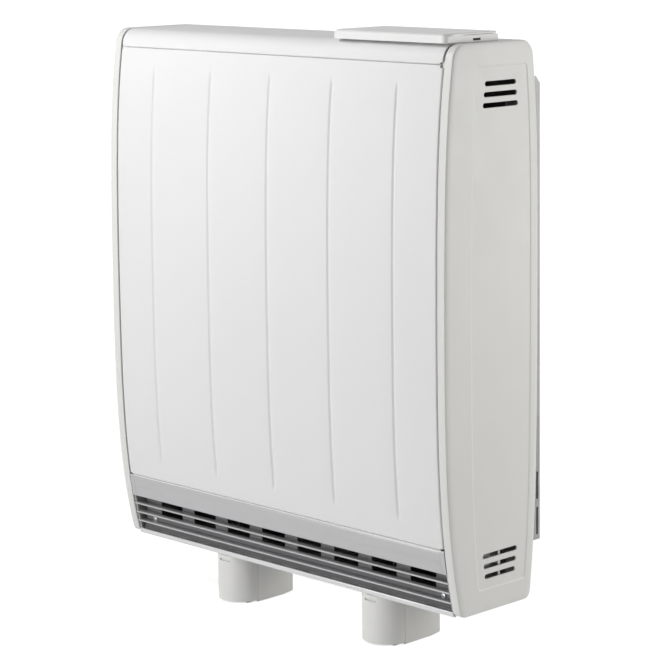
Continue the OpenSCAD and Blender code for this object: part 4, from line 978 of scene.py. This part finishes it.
# outline seen from above as (x, y, inward x, inward y, height of its lower edge)
def footPlan(low, high):
    f = foot
    r = (high.x - low.x) / 2
    cx, cy = (low.x + high.x) / 2, low.y + r
    c = f["rearCorner"]
    slotTurn = math.asin(f["slotHalf"] / r)
    gap = f["jointWide"] / 2
    last = math.pi / 2 - gap / r
    turns = [-last + (last - slotTurn) * i / 22 for i in range(22)]
    turns += [-slotTurn + 2 * slotTurn * i / 8 for i in range(8)]
    turns += [slotTurn + (last - slotTurn) * i / 22 for i in range(23)]
    points = [(cx + r * math.sin(a), cy - r * math.cos(a), -math.sin(a), math.cos(a), f["rise"])
              for a in turns]
    slotSpan = (22, 30)
    deep = high.x - f["jointDeep"]
    points += [(deep, cy - gap * 0.6, -1, 0, f["rise"]), (deep, cy + gap * 0.6, -1, 0, 0)]
    points += [(high.x, cy + gap + (high.y - c - cy - gap) * i / 4, -1, 0, 0) for i in range(4)]
    for start, x in ((0, high.x - c), (90, low.x + c)):
        for i in range(7):
            a = math.radians(start + 15 * i)
            points.append((x + c * math.cos(a), high.y - c + c * math.sin(a), -math.cos(a), -math.sin(a), 0))
        if start == 0:
            points += [(x + (low.x - high.x + 2 * c) * i / 6, high.y, 0, -1, 0) for i in range(1, 6)]
    points += [(low.x, high.y - c + (cy + gap - high.y + c) * i / 4, 1, 0, 0) for i in range(1, 5)]
    deep = low.x + f["jointDeep"]
    points += [(deep, cy + gap * 0.6, 1, 0, 0), (deep, cy - gap * 0.6, 1, 0, f["rise"])]
    return points, slotSpan


def buildFoot(name, node):
    f = foot
    low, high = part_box(node)
    points, slotSpan = footPlan(low, high)
    bm = bmesh.new()

    # the heel is cut up at a slant along the back
    def at(z, inset):
        ring = []
        for x, y, nx, ny, rise in points:
            py = y + inset * ny
            lift = max(rise, py - (high.y - f["heel"]))
            ring.append(bm.verts.new((x + inset * nx, py, max(z, low.z + lift + 0.3 * (z - low.z)))))
        return ring

    slotTop = high.z - f["slotDrop"] + f["slotHigh"]
    slotBottom = high.z - f["slotDrop"]
    soft = f["soft"]
    outerSteps = [(low.z, soft), (low.z + soft * 0.3, soft * 0.3), (low.z + soft, 0)]
    outerSteps += [(low.z + 8 * mm, 0), (slotBottom, 0), (slotTop, 0)]
    outerSteps += [(high.z - 0.4 * mm, 0), (high.z, 0.4 * mm)]
    outer = [at(z, inset) for z, inset in outerSteps]
    innerSteps = [(high.z, f["wall"]), (slotTop, f["wall"]), (slotBottom, f["wall"]),
                  (low.z + 8 * mm, f["wall"]), (low.z, f["wall"])]
    inner = [at(z, inset) for z, inset in innerSteps]
    rings = outer + inner
    first, last = slotSpan
    for k, (a, b) in enumerate(zip(rings, rings[1:])):
        for i in range(len(points)):
            j = (i + 1) % len(points)
            if k in (4, 8) and first <= i < last:
                continue
            bm.faces.new((a[i], a[j], b[j], b[i]))
    joinLoops(bm, rings[-1], rings[0])
    # walls of the slot
    oLow, oHigh, iHigh, iLow = outer[4], outer[5], inner[1], inner[2]
    for i in range(first, last):
        bm.faces.new((oLow[i], oLow[i + 1], iLow[i + 1], iLow[i]))
        bm.faces.new((oHigh[i], oHigh[i + 1], iHigh[i + 1], iHigh[i]))
    for i in (first, last):
        bm.faces.new((oLow[i], oHigh[i], iHigh[i], iLow[i]))
    makePiece(name, bm, "heater", "foot_plastic", [node], 32)


buildFoot("left_foot", "left_foot_cover")
buildFoot("right_foot", "right_foot_cover")
print("feet built")


# Lid of the control unit: a rounded nose, a thin plate behind it and two knuckles
lid = {
    "plate": 2.4 * mm,
    "nose": 30 * mm,
    "planCorner": 6 * mm,
    "noseEdge": 5 * mm,
    "sideEdge": 1.1 * mm,
    "blend": 10 * mm,          # length over which the edge tightens behind the nose
    "soft": 0.3 * mm,
    "pockets": 4,
    "pocketWall": 2.4 * mm,
    "pocketTop": 3.2 * mm,     # below the top of the lid
    "hingeY": 9.4 * mm,
    "hingeZ": 724.6 * mm,
    "knuckleR": 2.4 * mm,
    "knuckleLong": 10 * mm,
    "knuckleIn": 26 * mm,
}


def buildLid():
    d = lid
    low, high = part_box("control_lid")
    bm = bmesh.new()
    noseBack = low.y + d["nose"]
    noseZ, plateZ = low.z, high.z - d["plate"]
    c = d["planCorner"]
    plan = []                  # x, y, inward x, inward y, floor of the wall

    def corner(cx, cy, start, floor):
        for i in range(9):
            a = math.radians(start + 90 * i / 8)
            plan.append((cx + c * math.cos(a), cy + c * math.sin(a), -math.cos(a), -math.sin(a), floor))

    def run(x0, y0, x1, y1, n, floor, count):
        for i in range(1, count):
            t = i / count
            plan.append((x0 + (x1 - x0) * t, y0 + (y1 - y0) * t, *n, floor))

    corner(low.x + c, low.y + c, 180, noseZ)
    run(low.x + c, low.y, high.x - c, low.y, (0, 1), noseZ, 24)
    corner(high.x - c, low.y + c, 270, noseZ)
    run(high.x, low.y + c, high.x, noseBack, (-1, 0), noseZ, 8)
    rightStep = len(plan)
    plan.append((high.x, noseBack, -1, 0, noseZ))
    plan.append((high.x, noseBack, -1, 0, plateZ))
    run(high.x, noseBack, high.x, high.y - c, (-1, 0), plateZ, 6)
    corner(high.x - c, high.y - c, 0, plateZ)
    run(high.x - c, high.y, low.x + c, high.y, (0, -1), plateZ, 24)
    corner(low.x + c, high.y - c, 90, plateZ)
    run(low.x, high.y - c, low.x, noseBack, (1, 0), plateZ, 6)
    leftStep = len(plan)
    plan.append((low.x, noseBack, 1, 0, plateZ))
    plan.append((low.x, noseBack, 1, 0, noseZ))
    run(low.x, noseBack, low.x, low.y + c, (1, 0), noseZ, 8)

    def edgeAt(y):
        t = max(0.0, min(1.0, (low.y + c + d["blend"] - y) / d["blend"]))
        return d["sideEdge"] + (d["noseEdge"] - d["sideEdge"]) * t * t * (3 - 2 * t)

    s = d["soft"]
    rings = [[bm.verts.new((x + s * nx, y + s * ny, floor)) for x, y, nx, ny, floor in plan],
             [bm.verts.new((x, y, floor + s)) for x, y, nx, ny, floor in plan]]
    rolls = [(10 * i, 0) for i in range(10)] + [(90, 0.6 * mm)]
    for turn, extra in rolls:
        a = math.radians(turn)
        ring = []
        for k, (x, y, nx, ny, floor) in enumerate(plan):
            if k in (rightStep + 1, leftStep + 1):
                ring.append(ring[-1])
                continue
            r = edgeAt(y)
            inset, z = r * (1 - math.cos(a)) + extra, high.z - r * (1 - math.sin(a))
            ring.append(bm.verts.new((x + inset * nx, y + inset * ny, z)))
        rings.append(ring)
    joinLoops(bm, rings[0], rings[1])
    # the side walls, where the nose is deeper than the plate
    walls, above = rings[1], rings[2]
    for i in range(len(plan)):
        j = (i + 1) % len(plan)
        if i in (rightStep, leftStep):
            continue
        face = [walls[i], walls[j], above[j], above[i]]
        if j == rightStep:
            face.insert(2, walls[rightStep + 1])
        if i == leftStep + 1:
            face.append(walls[leftStep])
        bm.faces.new(face)
    joinAll(bm, rings[2:])
    fillFlat(bm, [list(dict.fromkeys(rings[-1]))], (0, 0, 1))

    # underside: the back of the nose, its pockets, and the plate
    floor = rings[0]
    bm.faces.new((floor[rightStep], floor[rightStep + 1], floor[leftStep], floor[leftStep + 1]))
    noseLoop = floor[leftStep + 1:] + floor[:rightStep + 1]
    plateLoop = floor[rightStep + 1:leftStep + 1]
    span = (high.x - low.x - d["pocketWall"]) / d["pockets"]
    pocketLoops = []
    for k in range(d["pockets"]):
        x0 = low.x + d["pocketWall"] + k * span
        x1, y1 = x0 + span - d["pocketWall"], noseBack - d["pocketWall"]
        shape = roundedRect(x0, x1, low.y + 5 * mm, y1, 1.5 * mm)
        roof = high.z - d["pocketTop"]
        loops = [[bm.verts.new((x - g * nx, y - g * ny, z)) for x, y, nx, ny in shape]
                 for z, g in ((noseZ, 0), (roof - 1 * mm, 0.3 * mm), (roof, 1.2 * mm))]
        joinAll(bm, loops)
        fillFlat(bm, [loops[-1]], (0, 0, -1))
        pocketLoops.append(loops[0])
    fillFlat(bm, [noseLoop] + pocketLoops, (0, 0, -1))
    fillFlat(bm, [plateLoop], (0, 0, -1))

    # hinge knuckles with a web up to the plate
    for x in (low.x + d["knuckleIn"], high.x + 0.2 * mm - d["knuckleIn"]):
        r = d["knuckleR"]
        turns = [math.radians(a) for a in range(180, 361, 15)]
        section = [(d["hingeY"] + r * math.cos(a), d["hingeZ"] + r * math.sin(a)) for a in turns]
        section += [(d["hingeY"] + r * 0.9, plateZ + 0.6 * mm), (d["hingeY"] - r, plateZ + 0.6 * mm)]
        barAlong(bm, section, x - d["knuckleLong"] / 2, x + d["knuckleLong"] / 2, 0.3 * mm)
    makePiece("lid_shell", bm, "lid", "unit_plastic", ["control_lid"], 30)


buildLid()


# Dark plate in the slot on the right of the control unit
sidePort = {
    "inset": (1.8 * mm, 0.7 * mm),     # its back and front, in from the unit's side
    "along": (16.1 * mm, 28.9 * mm),   # its ends, from the unit's front
    "height": (1.7 * mm, 4.1 * mm),    # its edges, from the unit's underside
    "soft": 0.3 * mm,
}


def buildSidePort():
    s = sidePort
    low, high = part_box("control_base")
    corners = [(high.x - s["inset"][i], low.y + s["along"][i], low.z + s["height"][i])
               for i in (0, 1)]
    bm = bmesh.new()
    softBox(bm, *corners, s["soft"])
    makePiece("side_port", bm, "heater", "black_rubber", (), 30)


buildSidePort()


# Buttons: shallow-dished caps, each with a plain symbol
button = {
    "flange": 1.2 * mm,
    "flangeThick": 0.8 * mm,
    "soft": 0.5 * mm,
    "dish": 0.25 * mm,
    "mark": 1.5 * mm,          # half the size of a symbol
    "markLine": 0.24 * mm,     # half the width of its strokes
    "markHigh": 0.12 * mm,
}


def buildButton(key, strokes):
    low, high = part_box(key + "_button")
    centre = Vector(((low.x + high.x) / 2, (low.y + high.y) / 2, low.z))
    wide = (high.x - low.x) / 2
    r = wide - button["flange"]
    top = high.z - low.z
    soft = button["soft"]
    profile = [(0, 0), (wide, 0), (wide, button["flangeThick"]), (r, button["flangeThick"]), (r, top - soft)]
    profile += [(r - soft * i, top - soft * j) for i, j in roundSteps((30, 60, 90))]
    dish = button["dish"]
    profile += [(r * 0.7, top - dish * 0.6), (r * 0.35, top - dish * 0.95), (0, top - dish)]
    bm = bmesh.new()
    turned(bm, profile, centre, "z", 64)
    makePiece(key + "_key_cap", bm, key + "_key", "button_plastic", [key + "_button"], 30)
    if not strokes:
        return
    bm = bmesh.new()
    half, line = button["mark"], button["markLine"]
    floor = centre.z + top - button["dish"]
    for x0, y0, x1, y1 in strokes:
        start, stop = Vector((x0, y0)) * half, Vector((x1, y1)) * half
        way = (stop - start).normalized()
        side = Vector((-way.y, way.x)) * line
        start, stop = start - way * line, stop + way * line
        base = [start + side, start - side, stop - side, stop + side]
        low4 = [bm.verts.new((centre.x + p.x, centre.y + p.y, floor - 0.1 * mm)) for p in base]
        high4 = [bm.verts.new((centre.x + p.x, centre.y + p.y, floor + button["markHigh"])) for p in base]
        joinLoops(bm, low4, high4)
        bm.faces.new(low4[::-1])
        bm.faces.new(high4)
    makePiece(key + "_symbol", bm, key + "_key", "black_rubber", (), 20)


buildButton("back", ((-0.9, 0, 0.9, 0), (-0.9, 0, -0.2, 0.7), (-0.9, 0, -0.2, -0.7)))
buildButton("minus", ((-0.9, 0, 0.9, 0),))
buildButton("plus", ((-0.9, 0, 0.9, 0), (0, -0.9, 0, 0.9)))
buildButton("select", ((-0.9, -0.1, -0.25, -0.75), (-0.25, -0.75, 0.95, 0.7)))
buildButton("boost", ((-0.8, -0.75, 0, 0.0), (0, 0.0, 0.8, -0.75), (-0.8, 0.05, 0, 0.8), (0, 0.8, 0.8, 0.05)))
print("control unit built")


# Screws: pan heads with a cross recess, one on each screw of the frame
screw = {
    "head": 3.6 * mm,
    "headHigh": 2.0 * mm,
    "rim": 0.25 * mm,
    "shank": 1.9 * mm,
    "crossLong": 3.6 * mm,
    "crossWide": 0.8 * mm,
    "crossDeep": 1.1 * mm,
}


def looseParts(mesh):
    bm = bmesh.new()
    bm.from_mesh(mesh)
    bmesh.ops.remove_doubles(bm, verts=bm.verts, dist=1e-6)
    seen, parts = set(), []
    for vert in bm.verts:
        if vert in seen:
            continue
        group, queue = [], [vert]
        seen.add(vert)
        while queue:
            v = queue.pop()
            group.append(v.co.copy())
            for edge in v.link_edges:
                w = edge.other_vert(v)
                if w not in seen:
                    seen.add(w)
                    queue.append(w)
        parts.append(group)
    bm.free()
    return parts


def screwHead():
    s = screw
    bm = bmesh.new()
    profile = [(0, -0.2 * mm), (s["head"] - 0.2 * mm, 0), (s["head"], s["rim"])]
    for a in (15, 30, 45, 60, 75):
        t = math.radians(a)
        rise = s["rim"] + (s["headHigh"] - s["rim"]) * math.sin(t)
        profile.append((s["head"] * (0.62 + 0.38 * math.cos(t)), rise))
    profile += [(s["head"] * 0.6, s["headHigh"]), (0, s["headHigh"])]
    turned(bm, profile, Vector((0, 0, 0)), "z", 40)
    bmesh.ops.recalc_face_normals(bm, faces=bm.faces)
    mesh = bpy.data.meshes.new("screw_master")
    bm.to_mesh(mesh)
    bm.free()
    head = bpy.data.objects.new("screw_master", mesh)
    scene.collection.objects.link(head)
    bm = bmesh.new()
    for long, wide in ((s["crossLong"], s["crossWide"]), (s["crossWide"], s["crossLong"])):
        size = Matrix.Diagonal((long, wide, s["crossDeep"] * 2, 1))
        bmesh.ops.create_cube(bm, size=1.0, matrix=Matrix.Translation((0, 0, s["headHigh"])) @ size)
    cutMesh = bpy.data.meshes.new("screw_cutter")
    bm.to_mesh(cutMesh)
    bm.free()
    cutter = bpy.data.objects.new("screw_cutter", cutMesh)
    scene.collection.objects.link(cutter)
    cut = head.modifiers.new("cross", "BOOLEAN")
    cut.object = cutter
    cut.operation = "DIFFERENCE"
    cut.solver = "EXACT"
    cut.use_self = True
    bpy.context.view_layer.update()
    applyModifiers(head)
    bpy.data.objects.remove(cutter)
    bpy.data.meshes.remove(cutMesh)
    return head


def buildScrews():
    head = screwHead()
    ways = {"-y": Matrix.Rotation(math.pi / 2, 4, "X"), "y": Matrix.Rotation(-math.pi / 2, 4, "X"),
            "-z": Matrix.Rotation(math.pi, 4, "X")}
    bm = bmesh.new()
    for group in looseParts(nodes["screws"].data):
        low = Vector([min(p[i] for p in group) for i in range(3)])
        high = Vector([max(p[i] for p in group) for i in range(3)])
        centre = (low + high) / 2
        if high.z < capLow.z + 5 * mm:
            way, base = "-z", Vector((centre.x, centre.y, low.z + screw["headHigh"]))
            shank = ((screw["shank"], high.z - base.z), "z")
        elif centre.y < 0:
            way, base = "-y", Vector((centre.x, low.y + screw["headHigh"], centre.z))
            shank = ((screw["shank"], high.y - base.y), "y")
        else:
            way, base = "y", Vector((centre.x, high.y - screw["headHigh"], centre.z))
            shank = ((screw["shank"], base.y - low.y), "-y")
        start = len(bm.verts)
        bm.from_mesh(head.data)
        bm.verts.ensure_lookup_table()
        fresh = bm.verts[start:]
        # each cross lies at an angle of its own
        turn = Matrix.Rotation(0.7 * len(fresh) + 1.3 * start, 4, "Z")
        bmesh.ops.transform(bm, matrix=Matrix.Translation(base) @ ways[way] @ turn, verts=fresh)
        (radius, length), axis = shank
        profile = [(0, 0), (radius, 0), (radius, length - 0.6 * mm)]
        profile += [(radius * 0.6, length), (0, length)]
        turned(bm, profile, base, axis, 20)
    bpy.data.meshes.remove(head.data)
    makePiece("pan_head_screws", bm, "heater", "bright_steel", ["screws"], 35)


buildScrews()
print("screws built")


# Stage: a pale floor that reads white to the camera and keeps the shadow
stage = {"half": 30.0, "near": 0.9, "far": 3.0, "albedo": 0.85, "glowNear": 0.75, "worldLight": 0.19}


def raySwitch(tree, plain, seen):
    path = addNode(tree, "ShaderNodeLightPath")
    most = path.outputs["Is Camera Ray"]
    for name in ("Is Glossy Ray", "Is Transmission Ray"):
        pick = addNode(tree, "ShaderNodeMath", {"operation": "MAXIMUM"})
        tree.links.new(most, pick.inputs[0])
        tree.links.new(path.outputs[name], pick.inputs[1])
        most = pick.outputs[0]
    level = addNode(tree, "ShaderNodeMapRange", To_Min=plain, To_Max=seen)
    tree.links.new(most, level.inputs["Value"])
    return level.outputs["Result"]


def buildFloor():
    bm = bmesh.new()
    bmesh.ops.create_grid(bm, x_segments=24, y_segments=24, size=stage["half"])
    mesh = bpy.data.meshes.new("floor")
    bm.to_mesh(mesh)
    bm.free()
    floor = bpy.data.objects.new("floor", mesh)
    scene.collection.objects.link(floor)
    material = bpy.data.materials.new("floorFinish")
    material.use_nodes = True
    tree = material.node_tree
    tree.nodes.remove(tree.nodes["Principled BSDF"])
    out = tree.nodes["Material Output"]
    tone = stage["albedo"]
    matte = addNode(tree, "ShaderNodeBsdfDiffuse", Color=(tone, tone, tone, 1))
    place = addNode(tree, "ShaderNodeTexCoord")
    reach = addNode(tree, "ShaderNodeVectorMath", {"operation": "LENGTH"})
    tree.links.new(place.outputs["Object"], reach.inputs[0])
    fade = addNode(tree, "ShaderNodeMapRange", {"interpolation_type": "SMOOTHSTEP"},
                   From_Min=stage["near"], From_Max=stage["far"], To_Min=stage["glowNear"], To_Max=1.0)
    tree.links.new(reach.outputs["Value"], fade.inputs["Value"])
    glow = addNode(tree, "ShaderNodeEmission")
    strength = addNode(tree, "ShaderNodeMath", {"operation": "MULTIPLY"})
    tree.links.new(fade.outputs["Result"], strength.inputs[0])
    tree.links.new(raySwitch(tree, 0.0, 1.0), strength.inputs[1])
    tree.links.new(strength.outputs[0], glow.inputs["Strength"])
    both = addNode(tree, "ShaderNodeAddShader")
    tree.links.new(matte.outputs[0], both.inputs[0])
    tree.links.new(glow.outputs[0], both.inputs[1])
    tree.links.new(both.outputs[0], out.inputs["Surface"])
    mesh.materials.append(material)


def buildWorld():
    world = bpy.data.worlds.new("studio")
    scene.world = world
    world.use_nodes = True
    tree = world.node_tree
    back = tree.nodes["Background"]
    back.inputs["Color"].default_value = (1, 1, 1, 1)
    tree.links.new(raySwitch(tree, stage["worldLight"], 1.0), back.inputs["Strength"])


lamps = {
    "key": {"place": (-0.935, -3.2, 0.3), "aim": (-0.1, -0.09, 0.4), "size": 1.05,
            "power": 51.5, "colour": (1, 1, 1)},
    "fill": {"place": (1.36, 0.845, 0.665), "aim": (0.29, 0, 0.4), "size": 1.0,
             "power": 11.1, "colour": (1, 0.993, 0.965)},
    "upper": {"place": (-0.32, -0.85, 1.25), "aim": (-0.1, -0.09, 0.6), "size": 0.4,
              "power": 5.5, "colour": (1, 1, 1)},
}


def buildLamps():
    for name, l in lamps.items():
        light = bpy.data.lights.new(name, "AREA")
        light.size = l["size"]
        light.energy = l["power"]
        light.color = l["colour"]
        lamp = bpy.data.objects.new(name, light)
        scene.collection.objects.link(lamp)
        lamp.location = l["place"]
        lamp.rotation_euler = (Vector(l["aim"]) - Vector(l["place"])).to_track_quat("-Z", "Y").to_euler()


buildFloor()
buildWorld()
buildLamps()

# Camera, fitted to the photograph's own lines
cameraView = {
    "lens": 130.686,
    "shiftX": 0.0010,
    "shiftY": -0.10,
    "place": (2.0820, -2.0485, 0.8819),
    "turn": 45.217,
    "pitch": -8.715,
    "roll": -0.538,
}


def buildCamera():
    v = cameraView
    data = bpy.data.cameras.new("camera")
    data.lens = v["lens"]
    data.sensor_width = 36
    data.shift_x, data.shift_y = v["shiftX"], v["shiftY"]
    data.clip_end = 200
    camera = bpy.data.objects.new("camera", data)
    scene.collection.objects.link(camera)
    turn, pitch, roll = (math.radians(v[key]) for key in ("turn", "pitch", "roll"))
    ahead = Vector((-math.sin(turn) * math.cos(pitch), math.cos(turn) * math.cos(pitch), math.sin(pitch)))
    level = Vector((math.cos(turn), math.sin(turn), 0))
    above = level.cross(ahead)
    right = math.cos(roll) * level + math.sin(roll) * above
    up = math.cos(roll) * above - math.sin(roll) * level
    camera.matrix_world = Matrix.Translation(v["place"]) @ Matrix((right, up, -ahead)).transposed().to_4x4()
    scene.camera = camera


buildCamera()
scene.view_settings.view_transform = "Standard"
print("stage, lamps and camera set")
